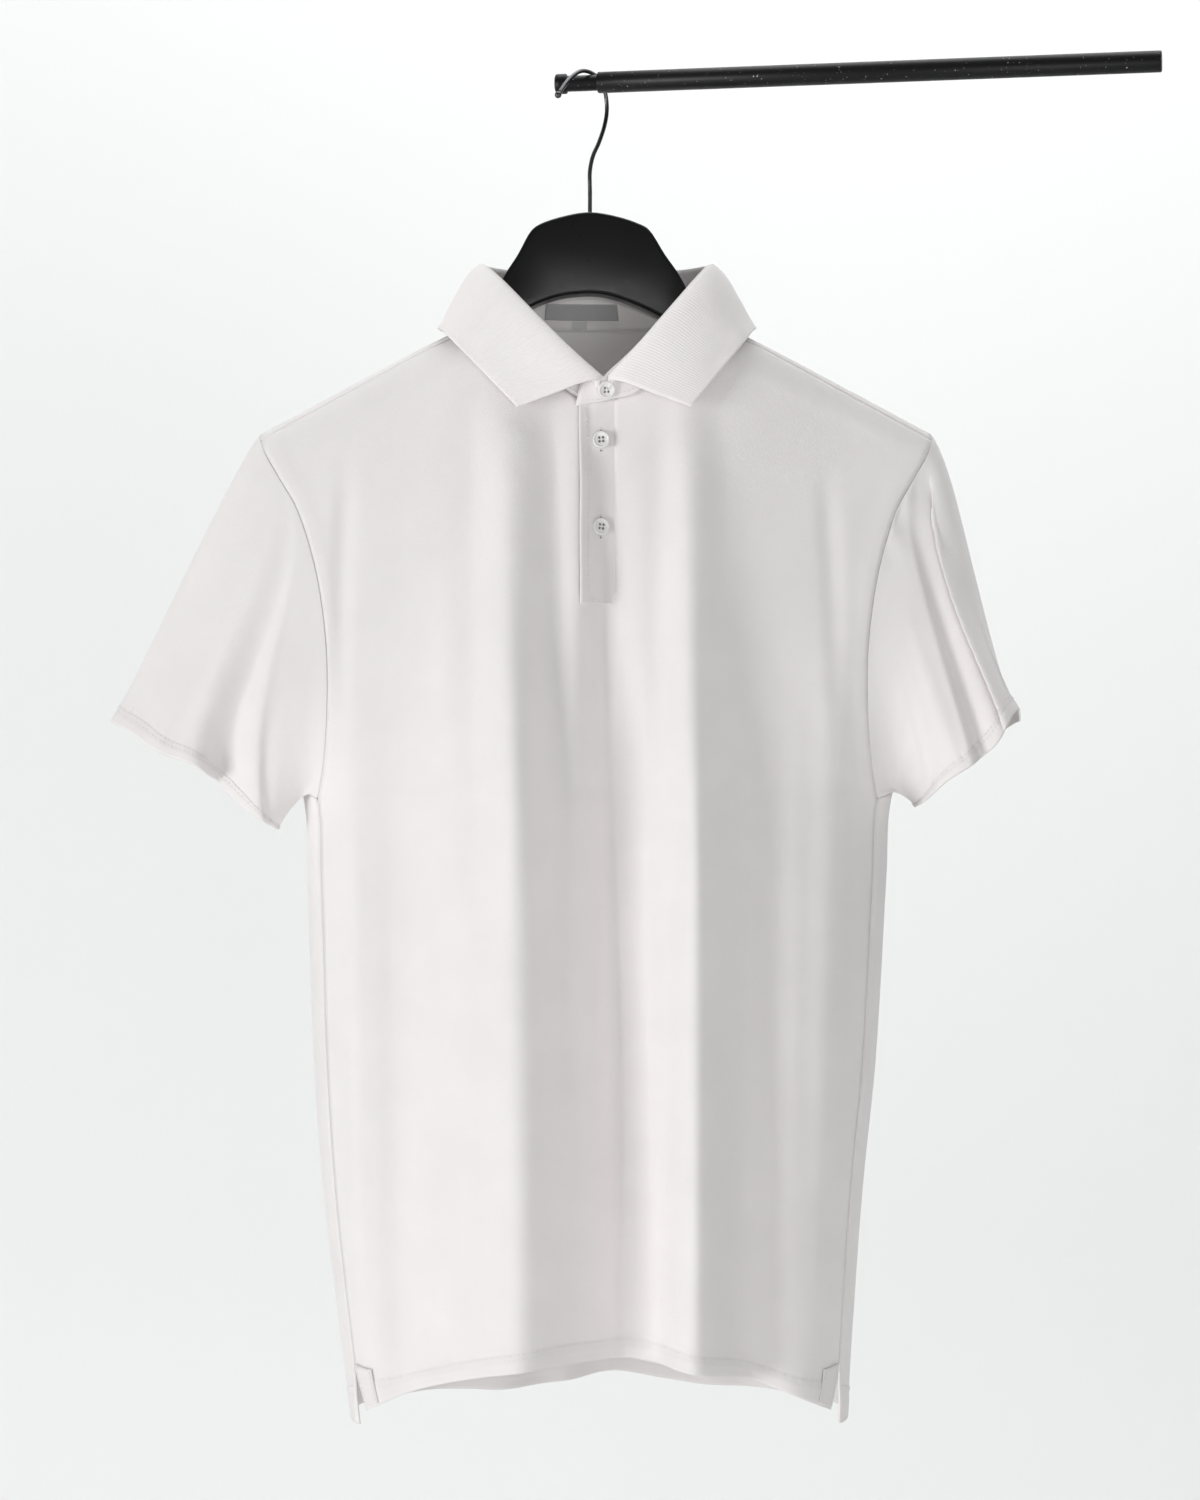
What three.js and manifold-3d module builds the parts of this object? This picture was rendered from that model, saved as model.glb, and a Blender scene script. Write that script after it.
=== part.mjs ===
// A short-sleeved polo shirt on a wide-shouldered hanger, hooked over a thin rod.
// Millimetres, +Z up. The front faces -Y, and +X is the wearer's left.
// The origin is where the hook's crown bears on the rod.
// A height is given as "down", the distance below the origin.

import * as THREE from "three";
import Module from "manifold-3d";
import { mergeVertices } from "three/addons/utils/BufferGeometryUtils.js";

const wasm = await Module();
wasm.setup();

// Cloth sizes
const CLOTH = 1.2;
const COLLAR_CLOTH = 1.6;
const TRIM_CLOTH = 0.8;
const SEAM_GAP = 0.3;
const CORNER_GAP = 0.7;
const SHOULDER_SEAM_GAP = 0.7;

// The shoulders, which lie over the hanger's arms
const NECK_X = 4;
const NECK_HALF = 85;
const NECK_DOWN = 165;
const NECK_SOFT = 14;
const SHOULDER_SLOPE = 0.538;
const SHOULDER_TIP = 223;
const NECK_ROLL = 37;
const TIP_ROLL = 27;
const SEAM_ARC = 17;

// How the front and the back hang away from the hanger, and the line of their side seam
const SECTION_POWER = 2.6;
const FRONT_SWELL = 30;
const FRONT_EASE = 170;
const BACK_SWELL = 125;
const BACK_EASE = 330;
const SEAM_ANGLE = 63;
const SEAM_TURN = 0.14;
const UNDERARM_DOWN = 482;

// The neckline, all round
const NECK_RING_HALF = 86;
const NECK_RING_BACK = 37;
const NECK_SEAM_TURN = 120;
const NECK_FRONT_ARC = 78;
const NECK_FRONT_POWER = 1.15;
const NECK_FRONT_SOFT = 0.18;

// The hems: the front's dips towards the sides, and the back's lifts a little at its fold
const FRONT_HEM = { down: 848, dip: 14.5, power: 2.4, middle: 7 };
const BACK_HEM = { down: 899, lift: 6, at: 13, half: 60, reach: 160 };

// The placket and the slot under it
const SLOT = { left: -4, right: 17, bottom: 348 };
const PLACKET = { left: -7.2, right: 21, bottom: 355 };
const UNDER_PLACKET = { left: -6.4, right: 20, bottom: 352 };

// The side vents
const VENT_HEIGHT = 38;
const VENT_TOP = 856;
const VENT_OPEN = 5;
const VENT_TURN = 2.4;
const VENT_TAPES = [{ name: "vent_tape_right", side: -1 }, { name: "vent_tape_left", side: 1 }];

// A vent tape's place on the front's grid, in columns from the edge and rows from the hem
const VENT_TAPE_PLACE = { edge: 0.15, inner: 1.6, foot: 0.15, top: 1.75 };

// Buttons
const BUTTON = { radius: 5.7, thick: 2.6, rim: 1.1, holeRadius: 0.85, holeAt: 1.5 };
const STAND_BUTTON = { name: "button_1", x: 10.3, row: 1.75 };
const PLACKET_BUTTONS = [
  { name: "button_2", x: 7.2, down: 247 },
  { name: "button_3", x: 6.2, down: 304 },
];

// Hanger, hook and rod
const HANGER_CLEAR = 0.9;
const HANGER_PLATE = { thick: 15, bevel: 4 };
const HANGER_ARM = { from: 60, to: 219, below: 9, stations: 15, sides: 16 };
const ARM_ENDS = { root: 0.35, rootLength: 0.22, tipFrom: 0.9, tipLoss: 0.75 };
const HOOK = { wire: 1.4, turn: 33, tip: 2.3 };
const ROD = { turn: 12, neck: 5.3, tube: 7.05, flange: 6.7, sides: 20 };
const ROD_ENDS = { flange: -23, neck: -15.7, tube: 5.5, end: 377.7 };

const deg = THREE.MathUtils.degToRad;
const mix = THREE.MathUtils.lerp;
const clamp = THREE.MathUtils.clamp;

// The hung body: each section's middle, its half width and the depth of its widest line.
const SECTIONS = [
  { down: 150, middle: 4, half: 300, widest: 0 },
  { down: 250, middle: 4.5, half: 290, widest: 0 },
  { down: 330, middle: 5, half: 262, widest: 3 },
  { down: 400, middle: 5, half: 235, widest: 12 },
  { down: 450, middle: 5, half: 212, widest: 22 },
  { down: 482, middle: 5, half: 198, widest: 30 },
  { down: 532, middle: 4.7, half: 195.3, widest: 34 },
  { down: 656, middle: 3.3, half: 189.8, widest: 40 },
  { down: 746, middle: 2, half: 182.3, widest: 43 },
  { down: 829, middle: 3.9, half: 174.4, widest: 45 },
  { down: 910, middle: 6.7, half: 166.5, widest: 46 },
];

// Half the width of the front between the armholes.
const FRONT_ARMHOLE = [
  { down: 235, half: 224.5 },
  { down: 250, half: 221 },
  { down: 270, half: 210 },
  { down: 291, half: 198 },
  { down: 325, half: 187 },
  { down: 357, half: 181 },
  { down: 390, half: 178 },
  { down: 430, half: 178.5 },
  { down: 460, half: 181.5 },
  { down: 482, half: 186.1 },
];

// The back's armhole edge, as an angle round the section from the centre front.
const BACK_ARMHOLE = [
  { down: 235, angle: 136 },
  { down: 280, angle: 136.5 },
  { down: 330, angle: 135.7 },
  { down: 380, angle: 133.4 },
  { down: 420, angle: 127.7 },
  { down: 450, angle: 119 },
  { down: 466, angle: 106 },
  { down: 476, angle: 86 },
  { down: 482, angle: 63.14 },
];

// How far round the back's inner columns spread
const BACK_COLUMNS = [
  { down: 250, angle: 136 },
  { down: 400, angle: 130 },
  { down: 450, angle: 121 },
  { down: 482, angle: 112 },
  { down: 540, angle: 94 },
  { down: 600, angle: 76 },
  { down: 660, angle: 63.14 },
];

// The folds: where each starts and ends, its line, its two flanks and its height outwards.
const FRONT_FOLDS = [
  { top: 320, bottom: 900, xTop: -160, xBottom: -150, left: 22, right: 28, height: 7 },
  { top: 330, bottom: 900, xTop: -128, xBottom: -118, left: 26, right: 26, height: -7 },
  { top: 205, bottom: 860, xTop: -62, xBottom: -50, left: 66, right: 40, height: 22 },
  { top: 330, bottom: 860, xTop: 14, xBottom: 24, left: 40, right: 34, height: -24 },
  { top: 190, bottom: 860, xTop: 62, xBottom: 66, left: 24, right: 42, height: 22 },
  { top: 260, bottom: 900, xTop: 112, xBottom: 104, left: 30, right: 34, height: -9 },
  { top: 300, bottom: 900, xTop: 158, xBottom: 146, left: 34, right: 26, height: 9 },
];
const BACK_FOLDS = [
  { top: 300, bottom: 900, xTop: -118, xBottom: -112, left: 34, right: 30, height: 12 },
  { top: 340, bottom: 900, xTop: -66, xBottom: -60, left: 30, right: 34, height: -16 },
  { top: 280, bottom: 900, xTop: 10, xBottom: 14, left: 34, right: 46, height: 34 },
  { top: 360, bottom: 900, xTop: 84, xBottom: 80, left: 30, right: 30, height: -12 },
  { top: 300, bottom: 900, xTop: 132, xBottom: 126, left: 30, right: 30, height: 10 },
];

// The collar, turning from the centre back (0) to the centre front (180): half widths, depths and heights.
const COLLAR = [
  { turn: 0, edgeHalf: 0, edgeY: 47, edgeDown: 177, foldHalf: 0, foldY: 40, foldDown: 127 },
  { turn: 45, edgeHalf: 77, edgeY: 37, edgeDown: 175, foldHalf: 55, foldY: 29, foldDown: 126.5 },
  { turn: 80, edgeHalf: 102, edgeY: 12, edgeDown: 170, foldHalf: 76, foldY: 7, foldDown: 126 },
  { turn: 100, edgeHalf: 106, edgeY: -10, edgeDown: 170, foldHalf: 76, foldY: -9, foldDown: 127.5 },
  { turn: 115, edgeHalf: 102, edgeY: -25, edgeDown: 174, foldHalf: 70, foldY: -21, foldDown: 134 },
  { turn: 130, edgeHalf: 95.5, edgeY: -36, edgeDown: 182, foldHalf: 59, foldY: -32, foldDown: 146 },
  { turn: 155, edgeHalf: 77, edgeY: -46, edgeDown: 203, foldHalf: 32, foldY: -44, foldDown: 175 },
  { turn: 180, edgeHalf: 57, edgeY: -53, edgeDown: 226, foldHalf: 2.5, foldY: -49, foldDown: 205.5 },
];
const COLLAR_MIDDLE = { back: 2.5, front: 9.3 };
const LEAF_FULLNESS = { out: 4, up: 1.6 };
const STAND = { cloth: 1.5, lap: 9, footGap: 0.8, inside: 2.3, below: 0.8 };
const STAND_LAP = { foldGap: 2.5, over: 0.9, under: 1.3 };
const STAND_TURNS = { front: 6, lapFrom: 160, over: 178, past: 184, round: 0.6 };
const LEAF_GRID = { columns: 40, rows: 5 };
const STRIP_TOP = 0.1;

// The sleeves. The cuff is an oval between its outer and inner corner, and a trough runs down to it.
const SLEEVES = [
  {
    name: "sleeve_right",
    side: -1,
    outer: [-320, 8, -431],
    inner: [-209, 10, -503],
    depth: 34,
    trough: { top: 0.06, cuff: 0.31, width: 0.085, height: 15 },
    lift: { at: 0.315, width: 0.05, height: 4 },
  },
  {
    name: "sleeve_left",
    side: 1,
    outer: [286, -6, -431],
    inner: [219, 22, -488],
    depth: 50,
    trough: { top: 0.05, cuff: 0.215, width: 0.05, height: 12 },
    lift: { at: 0.2, width: 0.05, height: 4 },
  },
];
const SLEEVE_ROWS = 10;
// How strongly a sleeve leaves the armhole and arrives at the cuff, with the share lost under the arm
const SLEEVE_LEAVES = { length: 62, lostBelow: 0.35, alongTop: 0.55 };
const SLEEVE_ARRIVES = { length: 70, lostBelow: 0.75 };
const UNDER_THE_ARM = 0.3;
const TIP_REACH = 0.07;
const UNDERARM_REACH = 0.2;
const PATCH = { on: "sleeve_left", rows: [8.2, 9, 9.7], columns: [0.2, 1, 2, 3, 3.6] };

// The hanger's neck plate, from the left, seen from the front
const PLATE_TOP = [
  [-98, -198], [-84, -190], [-73, -179], [-65, -158], [-58, -137], [-48, -121], [-39, -105], [-33, -100.5],
  [-16, -95], [0, -92.7], [18, -95.5], [33, -100.5], [39, -104], [50, -121],
  [61, -137], [69, -156], [78, -178], [88, -190], [100, -198],
];
const PLATE_ARCH = [
  [102, -217], [86, -209], [72, -196], [60, -178], [52, -166], [27, -153], [9, -147.5],
  [-7, -147], [-25, -150], [-44, -159], [-56, -175], [-70, -194], [-84, -208], [-100, -217],
];

// The hook's centre line in its own plane: along towards the tip, and up
const HOOK_LINE = [
  [0, -92.3], [0, -78], [0, -64], [-3.5, -54], [-11, -43.5], [-18, -31], [-20.8, -20],
  [-18.6, -9], [-11, -1], [0, 1.8], [10, 1.2], [19, -2.6], [27, -8], [33, -13.5], [36.5, -17],
];

// The bare labels inside the stand, by its own columns and rows
const LABELS = [
  { name: "neck_label", middle: 0.9, half: 2.35, top: 1.65, bottom: 2.5 },
  { name: "size_tab", middle: 1, half: 0.45, top: 2.55, bottom: 2.95 },
];

// Finishes
const FABRIC = { color: 0xe9e6e4, roughness: 0.85, metalness: 0 };
const BUTTON_FINISH = { color: 0xe6e2e0, roughness: 0.35, metalness: 0 };
const HANGER_FINISH = { color: 0x141414, roughness: 0.4, metalness: 0 };
const HOOK_FINISH = { color: 0x2a2a2c, roughness: 0.3, metalness: 1 };
const LABEL_FINISH = { color: 0xb9b8b8, roughness: 0.7, metalness: 0 };
const PATCH_FINISH = { color: 0x3a3a3d, roughness: 0.6, metalness: 0 };
const ROD_FINISH = { color: 0x161616, roughness: 0.5, metalness: 0.3 };

// Reads a column of a table on a smooth curve through its rows.
function read(table, key, column, at) {
  const last = table.length - 1;
  const place = clamp(at, table[0][key], table[last][key]);
  let i = table.findIndex((row) => row[key] > place) - 1;
  if (i < 0) i = last - 1;
  const slope = (k) => {
    const a = table[Math.max(k - 1, 0)];
    const b = table[Math.min(k + 1, last)];
    return (b[column] - a[column]) / (b[key] - a[key]);
  };
  const span = table[i + 1][key] - table[i][key];
  const t = (place - table[i][key]) / span;
  const start = table[i][column];
  const end = table[i + 1][column];
  const rise = t * t * (3 - 2 * t);
  const leave = t * (1 - t) * (1 - t) * slope(i) * span;
  const arrive = t * t * (1 - t) * slope(i + 1) * span;
  return start + (end - start) * rise + leave - arrive;
}

const smooth = (t) => THREE.MathUtils.smoothstep(t, 0, 1);
const bump = (t) => (Math.abs(t) < 1 ? 0.5 + 0.5 * Math.cos(Math.PI * t) : 0);
const section = (down, column) => read(SECTIONS, "down", column, down);

// How far in front of the widest line a section reaches at a share of its half width.
function wrap(share) {
  const s = Math.min(Math.abs(share), 1);
  return Math.pow(1 - Math.pow(s, SECTION_POWER), 1 / SECTION_POWER);
}

function ridgeDown(x) {
  const past = Math.abs(x - NECK_X) - NECK_HALF;
  const soft = (past + Math.hypot(past, NECK_SOFT)) / 2;
  return NECK_DOWN + SHOULDER_SLOPE * soft;
}

function rollRadius(x) {
  return mix(NECK_ROLL, TIP_ROLL, smooth((Math.abs(x - NECK_X) - 40) / 150));
}

// The fall below the shoulder ridge after an arc over the hanger.
function fallAfter(arc, x) {
  const radius = rollRadius(x);
  const quarter = (radius * Math.PI) / 2;
  const over = Math.abs(arc);
  return over < quarter ? radius * (1 - Math.cos(over / radius)) : radius + over - quarter;
}

function reach(x, down, swell, ease) {
  const radius = rollRadius(x);
  const fall = Math.max(down - ridgeDown(x), 0);
  const left = 1 - Math.min(fall, radius) / radius;
  return radius * Math.sqrt(1 - left * left) + swell * (1 - Math.exp(-Math.max(fall - radius, 0) / ease));
}

function foldHeight(folds, x, down) {
  let sum = 0;
  for (const f of folds) {
    const t = clamp((down - f.top) / (f.bottom - f.top), 0, 1);
    const away = x - mix(f.xTop, f.xBottom, t);
    const flank = away < 0 ? f.left : f.right;
    sum += f.height * Math.sqrt(t) * smooth(t * 3) * bump(away / flank);
  }
  return sum;
}

function frontY(x, down) {
  const widest = section(down, "widest");
  const rounding = wrap((x - section(down, "middle")) / section(down, "half"));
  const out = widest + reach(x, down, FRONT_SWELL, FRONT_EASE) + foldHeight(FRONT_FOLDS, x, down);
  return widest - out * rounding;
}

function backY(x, down) {
  const widest = section(down, "widest");
  const rounding = wrap((x - section(down, "middle")) / section(down, "half"));
  const out = reach(x, down, BACK_SWELL, BACK_EASE) - widest + foldHeight(BACK_FOLDS, x, down);
  return widest + out * rounding;
}

const frontAt = (x, down) => new THREE.Vector3(x, frontY(x, down), -down);

// A point of the body at an angle round its section, from the centre front.
function bodyAt(angle, down) {
  const s = Math.sin(deg(angle));
  const c = Math.cos(deg(angle));
  const size = Math.pow(Math.abs(s) ** SECTION_POWER + Math.abs(c) ** SECTION_POWER, -1 / SECTION_POWER);
  const x = section(down, "middle") + section(down, "half") * size * s;
  return new THREE.Vector3(x, c >= 0 ? frontY(x, down) : backY(x, down), -down);
}

// A point of the shoulder at an arc from its ridge, forwards where the arc is below 0.
function shoulderAt(x, arc) {
  const down = ridgeDown(x) + fallAfter(arc, x);
  return new THREE.Vector3(x, arc < 0 ? frontY(x, down) : backY(x, down), -down);
}

// The arc from the ridge to the neckline or the shoulder seam, for the front and for the back.
function frontTopArc(x) {
  const share = Math.abs(x - NECK_X) / NECK_RING_HALF;
  const seamShare = Math.sin(deg(NECK_SEAM_TURN));
  if (share >= seamShare) return SEAM_ARC;
  const turn = 180 - THREE.MathUtils.radToDeg(Math.asin(share));
  const t = (turn - NECK_SEAM_TURN) / (180 - NECK_SEAM_TURN);
  const left = Math.hypot(1 - t, NECK_FRONT_SOFT) - NECK_FRONT_SOFT;
  const climbed = 1 - left / (Math.hypot(1, NECK_FRONT_SOFT) - NECK_FRONT_SOFT);
  return SEAM_ARC + (NECK_FRONT_ARC - SEAM_ARC) * Math.pow(climbed, NECK_FRONT_POWER);
}

const frontTopDown = (x) => ridgeDown(x) + fallAfter(frontTopArc(x), x);

function frontHemDown(x) {
  return FRONT_HEM.down + FRONT_HEM.dip * Math.pow(Math.abs(x - FRONT_HEM.middle) / 100, FRONT_HEM.power);
}

function backHemDown(x) {
  return BACK_HEM.down - BACK_HEM.lift * bump((x - BACK_HEM.at) / BACK_HEM.half);
}

// A closed wall from a grid of outer points. keep says which cells there are.
function wall(points, thick, { ring = false, keep = () => true, normals } = {}) {
  const rows = points.length;
  const cols = points[0].length;
  const lastCol = ring ? cols : cols - 1;
  const at = (i, j) => points[i][((j % cols) + cols) % cols];
  const facing = points.map((row, i) =>
    row.map((point, j) => {
      if (normals && normals[i] && normals[i][j]) return normals[i][j];
      const left = ring || j > 0 ? at(i, j - 1) : point;
      const right = ring || j < cols - 1 ? at(i, j + 1) : point;
      const above = points[Math.max(i - 1, 0)][j];
      const below = points[Math.min(i + 1, rows - 1)][j];
      const along = right.clone().sub(left);
      const down = below.clone().sub(above);
      return down.cross(along).normalize();
    }),
  );
  const vertices = [];
  const index = new Map();
  const vertex = (i, j, inside) => {
    const k = ((j % cols) + cols) % cols;
    const name = `${i},${k},${inside}`;
    if (!index.has(name)) {
      const p = points[i][k].clone().addScaledVector(facing[i][k], inside ? -thick : 0);
      index.set(name, vertices.length / 3);
      vertices.push(p.x, p.y, p.z);
    }
    return index.get(name);
  };
  const faces = [];
  const quad = (a, b, c, d) => faces.push(a, b, c, a, c, d);
  const has = (i, j) => {
    if (i < 0 || i >= rows - 1) return false;
    if (!ring && (j < 0 || j >= lastCol)) return false;
    return keep(i, ((j % cols) + cols) % cols);
  };
  const side = (i, j, k, l) =>
    quad(vertex(i, j, false), vertex(k, l, false), vertex(k, l, true), vertex(i, j, true));
  for (let i = 0; i < rows - 1; i += 1) {
    for (let j = 0; j < lastCol; j += 1) {
      if (!has(i, j)) continue;
      const corners = [[i, j], [i + 1, j], [i + 1, j + 1], [i, j + 1]];
      quad(...corners.map(([r, c]) => vertex(r, c, false)));
      quad(...corners.reverse().map(([r, c]) => vertex(r, c, true)));
      if (!has(i - 1, j)) side(i, j, i, j + 1);
      if (!has(i + 1, j)) side(i + 1, j + 1, i + 1, j);
      if (!has(i, j - 1)) side(i + 1, j, i, j);
      if (!has(i, j + 1)) side(i, j + 1, i + 1, j + 1);
    }
  }
  const geometry = new THREE.BufferGeometry();
  geometry.setAttribute("position", new THREE.Float32BufferAttribute(vertices, 3));
  geometry.setIndex(faces);
  return { geometry, points, facing };
}

const evenly = (count, from, to) =>
  Array.from({ length: count + 1 }, (_, i) => mix(from, to, i / count));
const upTo = (count) => Array.from({ length: count + 1 }, (_, i) => i);

// Rows above the underarm close up towards it, rows below are even, and the last ones are at the vents.
const ABOVE = 9;
const BELOW = 11;
const AT_VENT = 2;
const FRONT_OVER = 3;
const FRONT_OVER_ARC = 27;
const BACK_OVER = 6;
const BACK_OVER_SHORT = 2;
const ROW_CLOSING = 1.25;
const SETTLING_STEPS = 8;
const closingUp = (t) => 1 - Math.pow(1 - t, ROW_CLOSING);

function rowDown(top, hem, share, row) {
  if (row <= ABOVE) return mix(top, UNDERARM_DOWN, closingUp(row / ABOVE));
  const knee = mix(hem - VENT_HEIGHT / 2, VENT_TOP, Math.pow(Math.abs(share), 3));
  const even = BELOW - AT_VENT;
  if (row <= ABOVE + even) return mix(UNDERARM_DOWN, knee, (row - ABOVE) / even);
  return mix(knee, hem, (row - ABOVE - even) / AT_VENT);
}

// The way out of the body's surface, for the edges that two panels share
function outOf(surface, u, v, middle) {
  const along = surface(u + 0.5, v).sub(surface(u - 0.5, v));
  const across = surface(u, v + 0.5).sub(surface(u, v - 0.5));
  const out = along.cross(across).normalize();
  return out.dot(surface(u, v).sub(middle)) < 0 ? out.negate() : out;
}

const sideNormal = (angle, down) =>
  outOf(bodyAt, angle, down, new THREE.Vector3(section(down, "middle"), section(down, "widest"), -down));
const shoulderNormal = (x) =>
  outOf(shoulderAt, x, -SEAM_ARC, new THREE.Vector3(x, 0, -ridgeDown(x) - rollRadius(x)));

// The front's half width: the armhole above the underarm, and the side seam with its vent below.
function frontHalf(down) {
  if (down < UNDERARM_DOWN) return read(FRONT_ARMHOLE, "down", "half", down);
  const open = VENT_OPEN * smooth((down - VENT_TOP) / VENT_HEIGHT);
  return bodyAt(SEAM_ANGLE, down).x - section(down, "middle") - open;
}

const MIDDLE_HALF = 185;
const FRONT_COLUMNS = 32;

function frontX(share, down) {
  const extra = frontHalf(down) - SEAM_GAP / 2 - MIDDLE_HALF;
  return section(down, "middle") + share * (MIDDLE_HALF + extra * share * share);
}

// The columns of the front, with one on each side of the slot
function frontShares() {
  const shares = evenly(FRONT_COLUMNS, -1, 1);
  for (const edge of [SLOT.left, SLOT.right]) {
    const share = (edge - section(SLOT.bottom, "middle")) / MIDDLE_HALF;
    const away = shares.map((s) => Math.abs(s - share));
    shares[away.indexOf(Math.min(...away))] = share;
  }
  return shares;
}

// Over the hanger, the front's rows follow the arc. Below it, they follow the height.
function frontPoint(share, row) {
  let x = frontX(share, UNDERARM_DOWN / 2);
  for (let i = 0; i < SETTLING_STEPS; i += 1) x = frontX(share, frontTopDown(x));
  const over = Math.min(row / FRONT_OVER, 1);
  const arc = frontTopArc(x) + SHOULDER_SEAM_GAP / 2 + FRONT_OVER_ARC * over;
  for (let i = 0; i < SETTLING_STEPS; i += 1) x = frontX(share, ridgeDown(x) + fallAfter(arc, x));
  const start = ridgeDown(x) + fallAfter(arc, x);
  if (row <= FRONT_OVER) return frontAt(x, start);
  const hem = frontHemDown(frontX(share, frontHemDown(share * MIDDLE_HALF)));
  const down = rowDown(start, hem, share, row - FRONT_OVER);
  return frontAt(frontX(share, down), down);
}

function makeFront() {
  const shares = frontShares();
  const rows = FRONT_OVER + ABOVE + BELOW;
  const points = upTo(rows).map((row) => shares.map((share) => frontPoint(share, row)));
  const inSlot = (i, j) => {
    const middle = points[i][j].x + points[i][j + 1].x;
    const overSlot = middle > 2 * SLOT.left && middle < 2 * SLOT.right;
    return overSlot && -points[i + 1][j].z < SLOT.bottom;
  };
  const last = shares.length - 1;
  const normals = points.map((row, i) =>
    row.map((point, j) => {
      if (i > UNDERARM_FRONT && j === 0) return sideNormal(-SEAM_ANGLE, -point.z);
      if (i > UNDERARM_FRONT && j === last) return sideNormal(SEAM_ANGLE, -point.z);
      return i === 0 && frontTopArc(point.x) === SEAM_ARC ? shoulderNormal(point.x) : undefined;
    }),
  );
  return wall(points, CLOTH, { keep: (i, j) => !inSlot(i, j), normals });
}

const NECK_SHARE = 0.42;
const NECK_COLUMNS = 8;
const NECK_BOW = 18;
const NECK_RISE = { height: 15, turn: 100 };
const SHOULDER_COLUMNS = 9;

// The back's top edge: the shoulder seam, and the neckline between its ends.
function backTop(share) {
  const side = Math.sign(share) || 1;
  const out = Math.abs(share);
  if (out >= NECK_SHARE - 1e-9) {
    const t = (out - NECK_SHARE) / (1 - NECK_SHARE);
    const start = NECK_RING_HALF * Math.sin(deg(NECK_SEAM_TURN));
    return { x: NECK_X + side * mix(start, SHOULDER_TIP, t), arc: -SEAM_ARC };
  }
  const turn = deg((NECK_SEAM_TURN * out) / NECK_SHARE);
  return { x: NECK_X + side * NECK_RING_HALF * Math.sin(turn), arc: NECK_RING_BACK * Math.cos(turn) };
}

// How far the columns beside the neck bow outwards, round the neckline
function neckBow(share) {
  const out = Math.abs(share);
  const past = clamp((out - NECK_SHARE) / (1 - NECK_SHARE), 0, 1);
  const near = Math.min(out / NECK_SHARE, 1);
  return Math.sign(share) * NECK_BOW * Math.pow(smooth(near), 1.5) * (1 - smooth(past));
}

// How far the neckline stands above the roll of the shoulders, behind the neck
function neckRise(share) {
  const turn = NECK_SEAM_TURN * Math.min(Math.abs(share) / NECK_SHARE, 1);
  return NECK_RISE.height * bump(turn / NECK_RISE.turn);
}

// Where the back's columns leave the hanger
function backRidgeX(share) {
  const out = Math.abs(share);
  const past = clamp((out - NECK_SHARE) / (1 - NECK_SHARE), 0, 1);
  const near = Math.min(out / NECK_SHARE, 1);
  return NECK_X + Math.sign(share) * (NECK_HALF * near + (SHOULDER_TIP - NECK_HALF) * past);
}

// Near the underarm only the outer columns turn with the edge.
function backAngle(share, down) {
  const open = VENT_TURN * smooth((down - VENT_TOP) / VENT_HEIGHT);
  const armhole = read(BACK_ARMHOLE, "down", "angle", down);
  const edge = down < UNDERARM_DOWN ? armhole : SEAM_ANGLE + SEAM_TURN + open;
  const inner = Math.max(read(BACK_COLUMNS, "down", "angle", down), SEAM_ANGLE + SEAM_TURN);
  return 180 + share * (180 - inner) + Math.pow(share, 5) * (inner - edge);
}

// Over the shoulder, the arc grows from the seam to a quarter turn. Below it, the columns follow the angles.
function backPoint(share, row) {
  const top = backTop(share);
  const ridgeX = backRidgeX(share);
  const quarter = (rollRadius(ridgeX) * Math.PI) / 2 - BACK_OVER_SHORT;
  if (row <= BACK_OVER) {
    const arc = mix(top.arc + SHOULDER_SEAM_GAP / 2, quarter, row / BACK_OVER);
    const bow = neckBow(share) * Math.sin((Math.PI * row) / BACK_OVER);
    const rolled = shoulderAt(mix(top.x, ridgeX, row / BACK_OVER) + bow, arc);
    rolled.z += neckRise(share) * Math.pow(1 - row / BACK_OVER, 2);
    return rolled;
  }
  const start = ridgeDown(ridgeX) + fallAfter(quarter, ridgeX);
  const down = rowDown(start, backHemDown(share * BACK_HEM.reach), share, row - BACK_OVER);
  const settled = smooth((row - BACK_OVER) / (ABOVE - 1));
  const hung = bodyAt(backAngle(-share, down), down);
  if (settled === 1) return hung;
  const x = mix(ridgeX, hung.x, settled);
  return new THREE.Vector3(x, backY(x, down), -down);
}

// The back's columns from the wearer's left: the shoulder's, then the neckline's
function backShares() {
  const half = [...evenly(SHOULDER_COLUMNS, 1, NECK_SHARE), ...evenly(NECK_COLUMNS, NECK_SHARE, 0).slice(1)];
  const other = half.slice(0, -1).map((share) => -share);
  return [...half, ...other.reverse()];
}

function makeBack() {
  const shares = backShares();
  const rows = BACK_OVER + ABOVE + BELOW;
  const points = upTo(rows).map((row) => shares.map((share) => backPoint(share, row)));
  const last = shares.length - 1;
  const normals = points.map((row, i) =>
    row.map((point, j) => {
      if (i > UNDERARM_BACK && j === 0) return sideNormal(SEAM_ANGLE, -point.z);
      if (i > UNDERARM_BACK && j === last) return sideNormal(-SEAM_ANGLE, -point.z);
      return i === 0 && Math.abs(shares[j]) >= NECK_SHARE - 1e-9 ? shoulderNormal(point.x) : undefined;
    }),
  );
  return wall(points, CLOTH, { normals });
}

const UNDERARM_FRONT = FRONT_OVER + ABOVE;
const UNDERARM_BACK = BACK_OVER + ABOVE;
const front = makeFront();
const back = makeBack();

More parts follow.
